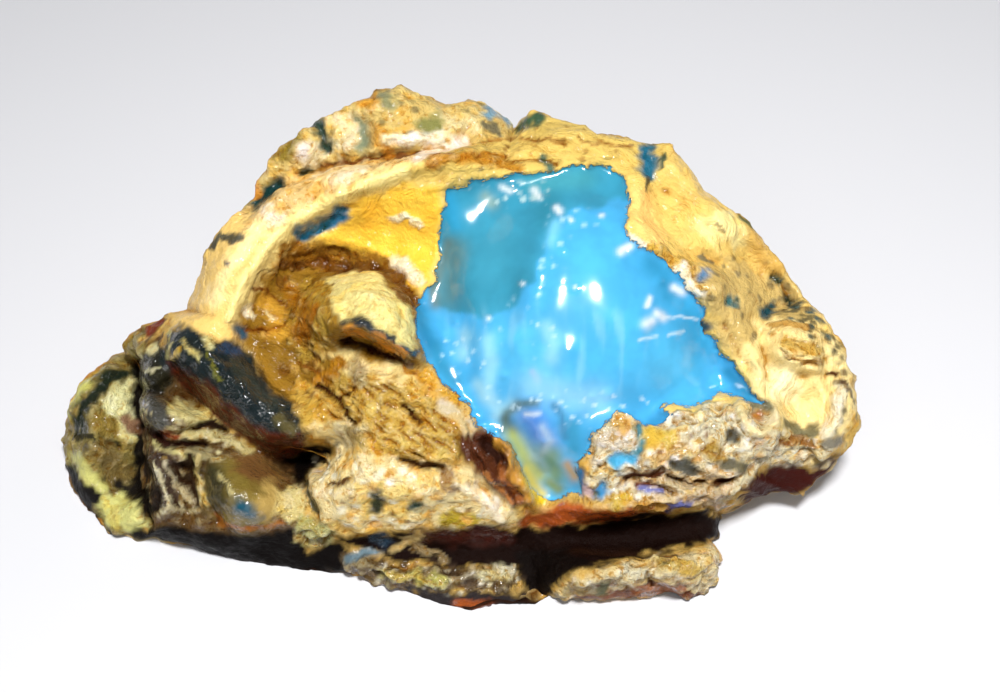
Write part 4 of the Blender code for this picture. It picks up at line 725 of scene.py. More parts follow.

# Pale flecks of the window, in part painted sparkle, name: (colour, spacing, fleck size over spacing,
# outline)
WINDOW_FLECKS = {
    "top": ((196, 226, 226), 1.0, 0.36, [(0.4, 12.2), (1, 13.8), (7.6, 14.4), (8, 12.6), (4, 12)]),
    "teal_edge": ((176, 226, 246), 0.9, 0.4, [
        (7.6, 12.2), (12.6, 11.8), (12.4, 10.6), (9.8, 9.8), (8.8, 7), (6.8, 4.2), (4.8, 2.4), (4.2, 3.4),
        (6.4, 6.4), (7.6, 9),
    ]),
    "left": ((186, 230, 248), 1.0, 0.3, [(-2.4, 1.6), (3.4, 2), (4, -5.6), (1.4, -5.4), (-1.6, -1)]),
    "middle": ((196, 232, 252), 0.9, 0.36, [(6.4, 2.4), (9, 2.4), (9.2, -1.4), (6.6, -1.4)]),
    "bottom": ((204, 236, 252), 0.8, 0.36, [
        (3, -5.8), (8, -3.6), (13.4, -4), (17.6, -4.6), (13.6, -5.7), (12, -6.8), (9.6, -7.4), (8, -5.2),
    ]),
}
FLECK_FADE = 0.4
FLECK_STRENGTH = 0.75

# Small relief of the show face, name: (half width, height, line)
RELIEF = {
    "rim_crest": (0.7, 0.5, [
        (-19.8, 1.8), (-18.8, 5), (-16.8, 8), (-14.8, 10.2), (-12, 12.2), (-8, 14), (-4, 15.7), (0, 16.7),
    ]),
    "rim_fall": (0.8, -0.5, [
        (-18.4, 2.4), (-17.4, 5), (-15.4, 8), (-13.2, 9.4), (-10.4, 12), (-6, 14), (-2, 15),
    ]),
    "crack_behind": (0.4, -0.9, [(-14.2, 15.3), (-12, 15.5), (-9, 16.3), (-5, 16.8), (-1.5, 17.3)]),
    "white_step": (0.45, 0.5, [(-6.4, 18.1), (-4, 18), (-2, 18), (-0.8, 18.6)]),
    "crown_dip": (1.2, -0.5, [(-9, 18.6), (-8.2, 17.8)]),
    "crown_knob": (1.0, 0.5, [(-7.8, 21.2), (-4.4, 20.6)]),
    "crown_knob_low": (1.1, 0.5, [(-6.8, 18.6)]),
    "tip_notch": (0.5, -1.0, [(4.8, 19.7), (5.2, 18.9)]),
    "strata_ledge": (0.4, 0.4, [(-2, 16), (1.4, 16.9), (5, 16.9), (9, 16.5), (13.6, 16.3)]),
    "bowl_groove": (0.8, -0.5, [
        (-15.6, 7), (-12.6, 7.3), (-9.6, 7), (-7.2, 6.9), (-5.6, 5.8), (-4.3, 4.2), (-3.9, 2.4),
    ]),
    "bowl_step": (0.5, 0.35, [(-12.2, 9), (-9, 8.7), (-6.8, 8.2), (-5, 6.6)]),
    "slope_lump": (1.0, 0.5, [(-4.8, 11.4), (-3.6, 10.4)]),
    "slope_lump_low": (1.0, 0.6, [(-4.6, 6.6), (-3.6, 5.6)]),
    "bowl_knob": (0.7, 0.45, [(-16.4, 3.2), (-15.6, 2.6)]),
    "lump_crest": (1.1, 0.9, [(-10.2, 5.4), (-8.4, 5.2), (-6.6, 3.6), (-5, 1.6)]),
    "lump_fold": (0.4, -0.45, [(-11.2, 5), (-9.8, 3.8), (-9.6, 2.8)]),
    "lump_right": (0.6, 0.5, [(-4.9, 3.6), (-4.2, 1.2), (-3.8, -0.8)]),
    "lip": (0.42, 1.3, [(-10.1, 1.6), (-8.4, 1.9), (-6.9, 1.1), (-5, -0.1), (-3.4, -1)]),
    "under_lip": (0.45, -0.9, [(-10, 0.5), (-8.8, 0.1), (-7, -0.4), (-5.2, -1.2)]),
    "belly_brow": (0.7, 0.5, [(-5, -9.2), (-2.8, -9.8), (-0.8, -9.6)]),
    "belly_fold": (0.8, 0.6, [(-8.4, -2.6), (-6.4, -3), (-4, -3.8)]),
    "crust_lump": (1.6, 0.6, [(-11.4, -11), (-10, -13.6)]),
    "crust_lump_mid": (1.4, 0.5, [(-6, -11.8), (-4.4, -12.4)]),
    "lilac": (0.6, -0.5, [(-1.6, -11.3), (-0.6, -12.4)]),
    "hollow_fill": (1.5, 2.8, [(2, -8.3), (3, -9.9)]),
    "hollow": (0.8, -0.5, [(1.6, -8.2), (2.8, -8.8)]),
    "hollow_low_fill": (1.2, 2.4, [(3, -11.2), (4.6, -13)]),
    "hollow_streak": (0.25, -0.35, [(3.4, -10.4), (4.4, -12.2), (5.2, -13.6)]),
    "notch": (0.9, -1.8, [(-14.8, -10.6), (-13.4, -9.9), (-11.8, -9.2)]),
    "notch_line": (0.32, -0.8, [(-13.8, -11.6), (-13.1, -13), (-12.2, -14.8)]),
    "tongue": (1.5, 0.5, [(-22.6, -0.8), (-20.2, -2.6), (-17.4, -5), (-15.2, -7)]),
    "tongue_end": (1.0, 0.6, [(-15, -7.8), (-14.4, -8.2)]),
    "tongue_foot": (0.7, -0.9, [(-25, -3.2), (-22.4, -5.8), (-20, -7.8), (-17.4, -9.8), (-15.6, -10.4)]),
    "tongue_groove": (0.3, -0.35, [(-23, 0), (-21, -2.2), (-19.4, -4.2)]),
    "lobe": (1.1, 0.6, [(-27, -2.4), (-25.6, -2.6)]),
    "lobe_gap": (0.4, -0.8, [(-28, -3.9), (-26.4, -3.9), (-24.6, -4.6)]),
    "lobe_second": (1.0, 0.7, [(-26.9, -5.4), (-26.2, -6)]),
    "lobe_under": (0.4, -0.8, [(-27.8, -7), (-26.2, -7.8), (-24.6, -8.5), (-22.4, -8.7)]),
    "fold": (0.5, 0.7, [(-24.6, -6.2), (-23, -6.4), (-21.4, -7)]),
    "fold_gap": (0.32, -0.7, [(-23.4, -7.2), (-21.8, -7.1), (-20.6, -7.4)]),
    "fold_low": (0.45, 0.6, [(-25.6, -8), (-23.8, -8.1), (-22, -7.9), (-20.2, -8.2), (-18.6, -9.2)]),
    "upright_b": (0.36, 0.5, [(-22.7, -9.6), (-22.8, -11), (-22.3, -12.6), (-22, -13.6)]),
    "gap": (0.5, -1.3, [
        (-28.2, -1.4), (-28.4, -5.5), (-28.1, -8.4), (-28.3, -11), (-27.6, -13.4), (-27, -15.4),
    ]),
    "lens": (2.0, 0.6, [(-19.2, -12.6), (-18.2, -13.6)]),
    "lens_brow": (0.5, 0.5, [(-20.4, -9.4), (-18, -9.8), (-16, -11)]),
    "lens_edge": (0.35, -0.5, [(-22.2, -10.4), (-22.2, -13), (-21, -15.2)]),
    "far_band": (0.6, -0.6, [(-29.6, -2.6), (-31.6, -3.6), (-33, -5.6), (-33.2, -7.4)]),
    "far_bulge": (1.1, 0.5, [(-29.8, -4.6), (-29.6, -7)]),
    "far_low": (1.2, 0.5, [(-30.6, -13.8), (-29.2, -15.2)]),
    "right_blotch": (0.8, -0.5, [(16.3, 17.4), (16.5, 16.2), (16.5, 15.3)]),
    "right_fold_a": (0.6, 0.4, [(18.6, 15.8), (21.2, 13), (24, 10.8), (26, 8.6), (27.6, 7)]),
    "right_fold_b": (0.5, -0.4, [(18, 13.6), (20.4, 11.4), (23, 9.4), (25.4, 7.2), (27, 5.4)]),
    "right_fold_c": (0.5, 0.45, [(17, 11.6), (19.4, 9.4), (22, 8.4), (24.2, 6.4)]),
    "right_valley": (0.5, -0.5, [(18, 7.9), (20.2, 7.8), (22.6, 7.3), (24, 6)]),
    "right_edge": (0.4, 0.4, [(27.8, 7.2), (29, 5.4), (30.6, 3.8), (32, 2.2)]),
    "right_edge_gap": (0.3, -0.5, [(27.4, 6.2), (28.6, 4.6), (30.4, 2.8), (31.6, 1.6)]),
    "pit_teal": (0.5, -0.7, [(23.4, 4), (23.9, 4)]),
    "pit_dark": (0.45, -0.5, [(26.6, 3.4), (26.8, 2.8)]),
    "pit_dark_fill": (0.7, 0.8, [(26.7, 3.2)]),
    "band_a": (0.35, -0.4, [(23, 1.8), (24.2, -0.4), (25.4, -2.6)]),
    "band_b": (0.5, 0.4, [(24.8, 1.6), (25.4, -0.6), (26.4, -3)]),
    "ear_fold": (0.35, -0.5, [(26.2, 1.2), (26.3, -0.8), (27, -3)]),
    "ear_cap_worn": (1.7, -1.2, [(27.6, 0.8), (29.8, 1.1), (31.4, 0.2)]),
    "ear_crease_fill": (0.9, 2.4, [(27.4, -0.9), (29, -1.6), (30.6, -1.6)]),
    "ear_scoop_fill": (1.0, 1.0, [(28.4, -3.4), (31, -3.2)]),
    "ear_shell": (0.45, 0.4, [(25.6, -3.4), (25.6, -0.8), (26.2, 1.2), (27.6, 2.4)]),
    "ear_shell_gap": (0.3, -0.35, [(26.5, -3), (26.5, -0.6), (27.2, 0.9), (28.6, 1.7), (30.6, 1.7)]),
    "ear_lid": (0.3, -0.25, [(27.6, -0.4), (29, -1.1), (30.4, -1.4), (31.6, -1.1)]),
    "ear_edge": (0.5, 0.6, [(33.5, -1.6), (33.5, -4), (32.8, -6), (32, -7.6)]),
    "ear_crease": (0.34, -0.4, [(31.6, -2.6), (32.2, -4.6), (31.8, -6.6)]),
    "ear_root": (0.4, -0.7, [(28.2, -8.2), (29.6, -7.9), (31, -8.4)]),
    "curl_pit": (0.6, -0.8, [(25.9, -6)]),
    "shelf_fold": (0.45, 0.6, [(17.6, -11.6), (19.4, -12.6), (21.4, -12.8), (22.6, -12.5)]),
    "shelf_fold_right": (0.5, 0.6, [(21.6, -11), (22.6, -11.2), (24.4, -10.9)]),
    "shelf_knob": (1.2, 0.9, [(12.4, -7.6), (14.2, -7.4)]),
    "shelf_knob_right": (1.0, 0.6, [(20.4, -7.6), (22.2, -7.2)]),
    "shelf_finger": (0.5, 0.7, [(17.8, -5.7), (20, -5.7), (21.6, -6.2)]),
    "shelf_finger_right": (0.5, 0.8, [(22, -4.3), (23.4, -5), (24.4, -6)]),
    "brow": (0.5, 0.6, [(6.4, -14.4), (9, -14), (13, -14), (17, -13.9), (19.6, -13.8)]),
    "foot_gap": (0.9, -1.0, [(6.6, -18.4), (6.6, -20.2), (6.8, -22.2)]),
    "foot_top": (0.8, 0.5, [(12, -20), (15, -19.2), (18.6, -18.8), (21.4, -18.6)]),
    "foot_cleft": (0.34, -0.8, [(17.4, -18), (16.4, -19.6), (16.8, -20.8)]),
    "foot_step": (0.4, -0.5, [(10, -21.6), (14, -20.9), (18, -20.6), (21, -21)]),
    "ledge": (0.5, 0.6, [(-9, -18.8), (-6, -19.8), (-1.6, -20.3), (3, -19.7)]),
}
RELIEF_WANDER = [(1.1, 51.0, 0.5)]

# Streaks that are also sunk or raised, name: (half width, height)
STREAK_RELIEF = {
    "rim_fleck": (0.5, -0.6), "crown_teal": (0.4, -0.7), "strata_line": (0.28, -0.45),
    "strata_line_up": (0.28, -0.5), "strata_line_right": (0.28, -0.4), "bowl_blue": (0.6, -0.45),
    "bowl_crack": (0.26, -0.4), "bowl_crack_low": (0.26, -0.4), "belly_crack": (0.3, -0.7),
    "belly_crack_branch": (0.24, -0.4), "belly_crack_mid": (0.3, -0.6), "belly_seam": (0.32, -0.7),
    "crust_pit": (0.34, -0.6), "dark_spot": (0.55, -0.5), "green_spot": (0.5, -0.5),
    "chalk_ridge": (0.6, 0.7), "hollow_ridge": (0.36, 0.9), "fold_dark_third": (0.32, -0.6),
    "upright_a": (0.34, 0.5), "upright_c": (0.4, 0.4), "upright_gap": (0.34, -0.6),
    "upright_gap_b": (0.34, -0.5), "upright_gap_c": (0.3, -0.5), "far_line": (0.3, -0.5),
    "pit_blue": (0.5, -0.7), "pit_grey": (0.4, -0.5), "pit_far": (0.4, -0.6), "pit_edge": (0.4, -0.5),
    "curl_ring": (0.4, 0.8), "shelf_dark": (0.3, -0.7), "shelf_dark_mid": (0.3, -0.8),
    "shelf_dark_right": (0.28, -0.7), "shelf_gap": (0.26, -0.5), "shelf_grey": (0.5, -0.8),
    "shelf_grey_low": (0.6, -0.7), "shelf_blue": (0.7, -0.7), "shelf_blue_low": (0.5, -0.6),
    "cream_lump": (1.0, 0.7),
}

# Little swellings that catch the light, (across, up, half width), and their height
GLINTS = [
    (4.6, 13.9, 0.36), (5.7, 13.3, 0.4), (6.7, 12.8, 0.4), (6.9, 13.8, 0.3), (8.6, 12.1, 0.4),
    (9.7, 11, 0.34), (12.3, 11.4, 0.34), (14, 7.8, 0.5), (15, 8.3, 0.4), (5.3, 5.4, 0.3), (10.2, 5, 0.3),
    (2.4, 2.3, 0.3), (-0.4, 2, 0.3), (16.2, 1.8, 0.6), (17.2, 2.6, 0.55), (16.6, 3.6, 0.4), (18.8, 1, 0.3),
    (14.8, 8.8, 0.5), (15.6, 8.8, 0.4), (19.2, 6.4, 0.5), (20, 5.2, 0.5), (20.4, 4.6, 0.4), (8, -4.7, 0.4),
    (-20.4, -11.4, 0.4), (-18.6, -13.2, 0.3), (-23.6, -0.4, 0.3), (-27.2, -2.4, 0.35), (-26.4, -5.6, 0.45),
    (-25.8, -6.2, 0.3), (-17.2, -3, 0.35), (-15.2, -6.4, 0.35), (-4, 10.9, 0.35), (-3.2, 6.2, 0.4),
    (-12.6, 10.4, 0.35), (12.9, -4.2, 0.45), (11.6, -4.4, 0.3), (17.4, 5.6, 0.4), (0.2, -0.6, 0.3),
    (3.8, -2.6, 0.36), (9.2, 8.4, 0.3), (7.4, -8.4, 0.3),
]
GLINT_HEIGHT = 0.5

# Strands that run one way, name: (turn in degrees, height, outline), and their length and width
STRANDS = {
    "belly": (-33, 0.6, [
        (-13.4, -2.4), (-9, -2.2), (-5, -3.2), (-2, -5), (0, -7), (0, -9.4), (-2.4, -10.2), (-6, -9.8),
        (-9.4, -7.2), (-12.6, -6),
    ]),
    "tongue": (-47, 0.12, [
        (-25.6, 0.6), (-20, 0.8), (-16, -3.4), (-13, -7), (-13.4, -9.4), (-16, -10), (-25, -3),
    ]),
    "folds": (-22, 0.3, [(-28, -4.6), (-24, -4.4), (-20.6, -7), (-18, -9.2), (-22.6, -9.4), (-27.6, -8.8)]),
    "uprights": (-66, 0.3, [(-27.6, -9.2), (-22.8, -9.8), (-22, -14.8), (-26.8, -15.4)]),
    "bowl": (-20, 0.3, [(-19, 1.4), (-17, 6), (-13, 6.2), (-12, 0), (-12.8, -5), (-16, -3)]),
}
STRAND_SIZE = (2.4, 0.5)
STRAND_DEPTH = 0.3
STRAND_SWAY = [(1.6, 81.0, 0.3)]
STRAND_EDGE = (-0.6, 0.8)

# Lines that run round the window: where, and their size along and across
FLOW = [
    (-20, 2), (-18, 9), (-12, 13), (-4, 16), (6, 19.5), (12, 19), (18, 17.5), (26, 10), (33, 1), (34.5, -5),
    (31, -8), (26, -5), (22, 0), (20, 6), (15.6, 9.4), (15, 14.6), (12, 16.2), (2, 15), (-3, 13), (-6, 11),
    (-12, 10.6), (-16, 7),
]
FLOW_EDGE = (-0.8, 0.8)
FLOW_MIDDLE = (8, 2)
FLOW_SQUASH = 1.15
FLOW_TURN = 16
FLOW_SIZE = (5.0, 1.3)
FLOW_WANDER = [(4.5, 83.0, 1.8), (1.7, 83.0, 0.7)]
FLOW_HEIGHT = 0.22

# Crust all over, and the ripple of the window. Layers of noise: [(lump size, shift, reach)]
GRADES = [(3.4, 1.7, 0.3), (1.7, 1.7, 0.3), (0.8, 1.7, 0.14)]
RIPPLE = [(4.5, 6.0, 0.08)]
RIDGE_TOP = 0.4
CRAG_TOP = 0.3
CRAG_HEIGHT = 0.26

# Crumbs: their (spacing, height), how bent their grid is, and the grit that brings them out
CRUMBS = ((1.5, 0.55), (0.8, 0.34))
CRUMB_REACH = 0.45
CRUMB_BEND = 0.4
CRUMB_GRIT = (0.3, 1.4)

# How drawn edges waver across and up, and how patches and streaks waver, as layers of noise
EDGE_WANDER = [
    [(2.4, 3.1, 0.42), (0.9, 3.1, 0.3), (0.45, 3.1, 0.12)],
    [(2.4, 17.7, 0.42), (0.9, 17.7, 0.3), (0.45, 17.7, 0.12)],
]
PATCH_WANDER = [(1.3, 12.3, 0.75), (0.55, 12.3, 0.4)]
STREAK_WANDER = [(0.8, 41.0, 0.6)]

# Single noises, name: (lump size, shift that sets it apart)
NOISES = {
    "broad": (7.5, 5.2),
    "middle": (3.1, 9.4),
    "fine": (1.2, 2.2),
    "chip": (8.5, 33.0),
    "gold": (5.2, 14.0),
    "seam": (6.5, 21.0),
    "seam_bend": (3.4, 84.0),
    "seam_break": (9.0, 54.0),
    "crags": (2.6, 61.0),
    "crumb_bend": (0.9, 71.0),
    "lines": (1.0, 4.4),
    "streaky": (1.0, 27.0),
}

# The crust away from the show face, name: (kind, colour), and its seams and ridges
BACK = {
    "crust": ("crust", (212, 172, 96)),
    "ochre": ("crust", (202, 136, 46)),
    "chalk": ("chalk", (238, 218, 168)),
    "gold": ("smooth", (226, 174, 74)),
    "seam": ("crack", (96, 60, 26)),
    "pit": ("crack", (104, 66, 30)),
    "halo": ("crust", (120, 74, 30)),
    "chip": ("resin", (36, 84, 96)),
}
BACK_SEAM = -0.5
BACK_RIDGES = [(7.0, 44.0, 0.55), (3.0, 44.0, 0.25)]
SEAM_BEND = 1.5
SEAM_RANGE = (0.07, 0.02)
SEAM_BREAK_RANGE = (-0.15, 0.15)

# Painted shade and dirt in the hollows, as the share of red, green and blue that it takes away, and tops
# made paler as wear and painted light
SHADE_AND_DIRT = (0.56, 0.72, 0.92)
DIRT_DEPTHS = (0.02, 0.2)
WORN_AND_LIT = (255, 236, 176)
WORN_HEIGHTS = (0.02, 0.16)
WORN_GRIT = (0.5, 0.9)
WORN_STRENGTH = 0.3
HOLLOW_ROUNDS = 6

# What the crust's colour is multiplied by, in the order in which they are laid on
TINTS = {
    "orange": (1.04, 0.9, 0.58),
    "cream": (1.08, 1.1, 1.35),
    "speck": (0.88, 0.74, 0.46),
    # painted light: the tops of the finest grain made paler
    "bright": (1.12, 1.18, 1.5),
    # painted shade and dirt: the low places of the finest grain made darker
    "dirt": (0.76, 0.56, 0.3),
    "hair": (0.66, 0.48, 0.26),
    "glow": (1.1, 1.14, 1.25),
}

# The resin and its gloss
AMBER_IOR = 1.54
ABSORPTION = (0.95, 0.62, 0.22)
ABSORPTION_DENSITY = 110
SPECULAR = 0.05
COAT_ROUGHNESS = 0.16
WINDOW_ROUGHNESS = 0.07
WINDOW_CLEARNESS = 0.28

# Surroundings, in metres. Lights, name: (place, width, power, whether reflections show it)
WORLD_COLOUR = (0.9, 0.93, 1, 1)
WORLD_STRENGTH = 0.07
FLOOR_COLOUR = (205, 205, 208)
FLOOR_ROUGHNESS = 0.8
FLOOR_REACH = 2
LIGHTS = {
    "key": ((0.02, -0.075, 0.218), 0.034, 0.76, True),
    "fill": ((-0.1, -0.3, 0.36), 0.25, 0.2, False),
    "rim": ((0.25, 0.2, 0.2), 0.2, 0.12, False),
}
LIGHT_AIM = Vector((0, 0, 0.012))
SKY_DIRECTION = Vector((-0.2, -0.45, 0.85))
SKY_POWER = 0.5
SKY_ANGLE = 1.4


def face_axes():
    """Axes of the show face: across, up and out, set at its middle."""
    s, c = math.sin(FACE_TILT), math.cos(FACE_TILT)
    axes = Matrix(((1, 0, 0), (0, s, -c), (0, c, s))).to_4x4()
    return Matrix.Translation(FACE_MIDDLE) @ axes


FACE = face_axes()
FACE_TURN = np.array(FACE.to_3x3())
FACE_START = np.array(FACE.translation)
TOWARD_VIEWER = FACE.to_3x3() @ Vector((0, 0, 1))
EYE = FACE @ (Vector((SIGHT_AXIS, 0, SIGHT_RANGE + SIGHT_PLANE)) * MM)


def linear(colour):
    """Linear RGB of an sRGB colour from 0 to 255."""
    value = np.array(colour, float) / 255
    return np.where(value <= 0.04045, value / 12.92, ((value + 0.055) / 1.055) ** 2.4)


def ramp(value, low, high):
    """Eases from 0 at low to 1 at high."""
    share = np.clip((value - low) / (high - low), 0, 1)
    return share * share * (3 - 2 * share)


def distance_to_line(spots, line):
    """Distance of each spot from a line of straight runs, or from a single spot."""
    nearest = np.full(len(spots), np.inf)
    for start, end in zip(line, line[1:] or line):
        start = np.array(start, float)
        run = np.array(end, float) - start
        along = (spots - start) @ run / max(run @ run, TINY)
        foot = start + np.clip(along, 0, 1)[:, None] * run
        nearest = np.minimum(nearest, np.hypot(*(spots - foot).T))
    return nearest


def along_line(spots, line, width):
    """1 on the line, fading out over that half width beside it."""
    return np.exp(-((distance_to_line(spots, line) / width) ** 2))


def depth_inside(spots, outline):
    """Distance in from a closed outline, negative outside it."""
    within = np.zeros(len(spots), bool)
    for (x0, y0), (x1, y1) in zip(outline, outline[1:] + outline[:1]):
        spans = (y0 > spots[:, 1]) != (y1 > spots[:, 1])
        crossing = x0 + (spots[:, 1] - y0) * (x1 - x0) / ((y1 - y0) or TINY)
        within ^= spans & (spots[:, 0] < crossing)
    depth = distance_to_line(spots, outline + outline[:1])
    return np.where(within, depth, -depth)


def grain(points, size, shift):
    """Smooth noise from about -1 to 1, with lumps of that size. Each shift gives another noise."""
    return np.array([noise.noise(p) for p in (points / size + shift).tolist()])


def layered(points, layers):
    """Sum of several noises, each given as (lump size, shift, reach)."""
    return sum(grain(points, size, shift) * reach for size, shift, reach in layers)


def ridged(points, size, shift):
    """Noise with sharp ridges, up to RIDGE_TOP."""
    return RIDGE_TOP - 2 * np.abs(grain(points, size, shift))


def bend(points, size, shift):
    """Noise along each of the three axes."""
    return np.stack([grain(points, size, shift + axis) for axis in range(3)], axis=1)


def cells(points, size):
    """Distance from each point to the middle of its cell, in cells."""
    return np.array([noise.voronoi(p)[0][0] for p in (points / size).tolist()])


def dusting(points, spots, size, share, fade, outline):
    """1 in small spots scattered over the outline, 0 beside them."""
    dots = ramp(cells(points, size), share, share * fade)
    return ramp(depth_inside(spots, outline), *DUSTING_EDGE) * dots


def tint(colours, tone, mask):
    """Mixes the tone into the colours, as far as the mask says."""
    colours += (linear(tone) - colours) * mask[:, None]


def look(kind, colour):
    """One row of colour, grit, wetness and clearness."""
    return np.array([*linear(colour), *KINDS[kind][:3]])


def paint(surface, kind, colour, mask):
    """Lays that kind of surface over the rows, as far as the mask says."""
    surface += (look(kind, colour) - surface) * mask[:, None]


def vertex_values(mesh, key):
    """The places or normals of the mesh's vertices, one in each row."""
    values = np.empty(len(mesh.vertices) * 3)
    mesh.vertices.foreach_get(key, values)
    return values.reshape(-1, 3)


def read_points(mesh):
    """(points, normals) of the mesh on the face axes, points in millimetres."""
    points = (vertex_values(mesh, "co") - FACE_START) @ FACE_TURN / MM
    return points, vertex_values(mesh, "normal") @ FACE_TURN


def write_points(mesh, points):
    """Moves the mesh to the points, and keeps it on or over the resting plane."""
    corners = points * MM @ FACE_TURN.T + FACE_START
    corners[:, 2] = np.maximum(corners[:, 2], 0)
    mesh.vertices.foreach_set("co", corners.ravel())
    mesh.update()


def sight_scale(points):
    """How much larger each point appears than it would on the sighted plane."""
    return SIGHT_RANGE / (SIGHT_RANGE + SIGHT_PLANE - points[:, 2:])


def sighted(points):
    """Where each point appears on the face when sighted square to it."""
    return SIGHT_MIDDLE + (points[:, :2] - SIGHT_MIDDLE) * sight_scale(points)


def link_object(name, data):
    """A new object in the scene."""
    obj = bpy.data.objects.new(name, data)
    bpy.context.scene.collection.objects.link(obj)
    return obj


def settle(obj):
    """Makes the shaped surface the object's own mesh."""
    graph = bpy.context.evaluated_depsgraph_get()
    shaped = bpy.data.meshes.new_from_object(obj.evaluated_get(graph))
    obj.modifiers.clear()
    obj.data = shaped
    shaped.name = obj.name


def beside(mesh, values):
    """At each vertex, the mean of the values at the vertices joined to it."""
    ends = np.empty(len(mesh.edges) * 2, np.int32)
    mesh.edges.foreach_get("vertices", ends)
    first, second = ends.reshape(-1, 2).T
    count = np.bincount(ends, minlength=len(mesh.vertices))
    total = []
    for column in values.reshape(len(values), -1).T:
        given = np.bincount(first, column[second], len(values))
        total.append(given + np.bincount(second, column[first], len(values)))
    return (np.array(total) / np.maximum(count, 1)).T.reshape(values.shape)


def eased(mesh, values, rounds):
    """The values, evened out along the mesh's edges."""
    for _ in range(rounds):
        values = (values + beside(mesh, values)) / 2
    return values


def relax(mesh, rounds):
    """Evens the facets out, in and out again by turns so that the form keeps its size."""
    corners = vertex_values(mesh, "co")
    for _ in range(rounds):
        for push in RELAX:
            corners = corners + push * (beside(mesh, corners) - corners)
    mesh.vertices.foreach_set("co", corners.ravel())
    mesh.update()


def halve_front(mesh):
    """Halves the facets that face the viewer."""
    bm = bmesh.new()
    bm.from_mesh(mesh)
    front = [face for face in bm.faces if face.normal.dot(TOWARD_VIEWER) > FRONT_FACING]
    edges = list({edge for face in front for edge in face.edges})
    bmesh.ops.subdivide_edges(bm, edges=edges, cuts=1, use_grid_fill=True)
    bmesh.ops.triangulate(bm, faces=[face for face in bm.faces if len(face.verts) > 4])
    bm.to_mesh(mesh)
    bm.free()


def fine_skin(node):
    """A closed, even copy of the node's surface, finer where it faces the viewer."""
    mesh = bpy.data.meshes.new(PIECE)
    bm = bmesh.new()
    bm.from_mesh(node.data)
    bmesh.ops.remove_doubles(bm, verts=bm.verts, dist=SAME_PLACE * MM)
    bm.to_mesh(mesh)
    bm.free()
    skin = link_object(PIECE, mesh)
    remesh = skin.modifiers.new("skin", "REMESH")
    remesh.mode = "VOXEL"
    remesh.voxel_size = SKIN * MM
    settle(skin)
    relax(skin.data, SKIN_ROUNDS)
    halve_front(skin.data)
    relax(skin.data, FRONT_ROUNDS)
    return skin


def open_in_front(mesh):
    """1 for each vertex with nothing of the nugget in front of it, else 0."""
    bm = bmesh.new()
    bm.from_mesh(mesh)
    tree = BVHTree.FromBMesh(bm)
    bm.free()
    clear = np.zeros(len(mesh.vertices))
    for i, vertex in enumerate(mesh.vertices):
        toward = (EYE - vertex.co).normalized()
        if vertex.normal.dot(toward) >= 0:
            start = vertex.co + toward * CLEARANCE * MM
            clear[i] = tree.ray_cast(start, toward)[0] is None
    return clear


def wander(points):
    """Sideways shifts that make drawn edges ragged."""
    return np.stack([layered(points, layers) for layers in EDGE_WANDER], axis=1)


def polar(offsets):
    """(angle, length) of each offset."""
    across, up = offsets.T
    return np.arctan2(up, across), np.hypot(across, up)


def outline_reach(angles):
    """Distance from OUTLINE_MIDDLE to the nugget's edge at each angle."""
    fine = []
    for start, end in zip(OUTLINE, OUTLINE[1:] + OUTLINE[:1]):
        steps = np.linspace(0, 1, OUTLINE_RUNS, endpoint=False)[:, None]
        fine.append(np.array(start) * (1 - steps) + np.array(end) * steps)
    around, reach = polar(np.concatenate(fine) - OUTLINE_MIDDLE)
    order = np.argsort(around)
    return np.interp(angles, around[order], reach[order], period=FULL_TURN)


def fit_outline(points):
    """Draws the skin out or in so that it meets the nugget's edge."""
    offsets = sighted(points) - OUTLINE_MIDDLE
    around, reach = polar(offsets)
    step = ((around + math.pi) / FULL_TURN * OUTLINE_STEPS).astype(int) % OUTLINE_STEPS
    widest = np.zeros(OUTLINE_STEPS)
    np.maximum.at(widest, step, reach)
    widest = np.mean((np.roll(widest, 1), widest, np.roll(widest, -1)), axis=0)
    middles = (np.arange(OUTLINE_STEPS) + 0.5) / OUTLINE_STEPS * FULL_TURN - math.pi
    present = np.interp(around, middles, widest, period=FULL_TURN)
    edge = np.clip(reach / present, 0, 1) ** OUTLINE_HOLD
    change = (outline_reach(around) / present - 1) * (edge * ramp(points[:, 2], *OUTLINE_DEPTHS))
    offsets *= (1 + change)[:, None]
    offsets += np.array(OUTLINE_MIDDLE) - SIGHT_MIDDLE
    points[:, :2] = offsets / sight_scale(points) + SIGHT_MIDDLE
    return points


def show_face(ragged, points):
    """The painted surface of the show face, as rows of colour, grit, wetness and clearness."""
    surface = np.tile(look("plain", PLAIN_COLOUR), (len(points), 1))
    uneven = layered(points, PATCH_WANDER)
    for kind, colour, soft, outline in PATCHES.values():
        blur = KINDS[kind][3]
        depth = depth_inside(ragged, outline) + uneven * soft
        paint(surface, kind, colour, ramp(depth, -blur, blur))
    for kind, colour, size, share, outline in SPECKLES.values():
        shifted = points + len(outline) * size  # sets the dustings apart
        dots = dusting(shifted, ragged, size, share, SPECKLE_FADE, outline)
        paint(surface, kind, colour, dots * SPECKLE_STRENGTH)
    swell = 1 + layered(points, STREAK_WANDER)
    for kind, colour, width, line in STREAKS.values():
        blur = min(KINDS[kind][3] * STREAK_BLUR, MOST_BLUR)
        far = distance_to_line(ragged, line) / (width * swell)
        paint(surface, kind, colour, 1 - ramp(far, 1 - blur, 1 + blur))
    return surface


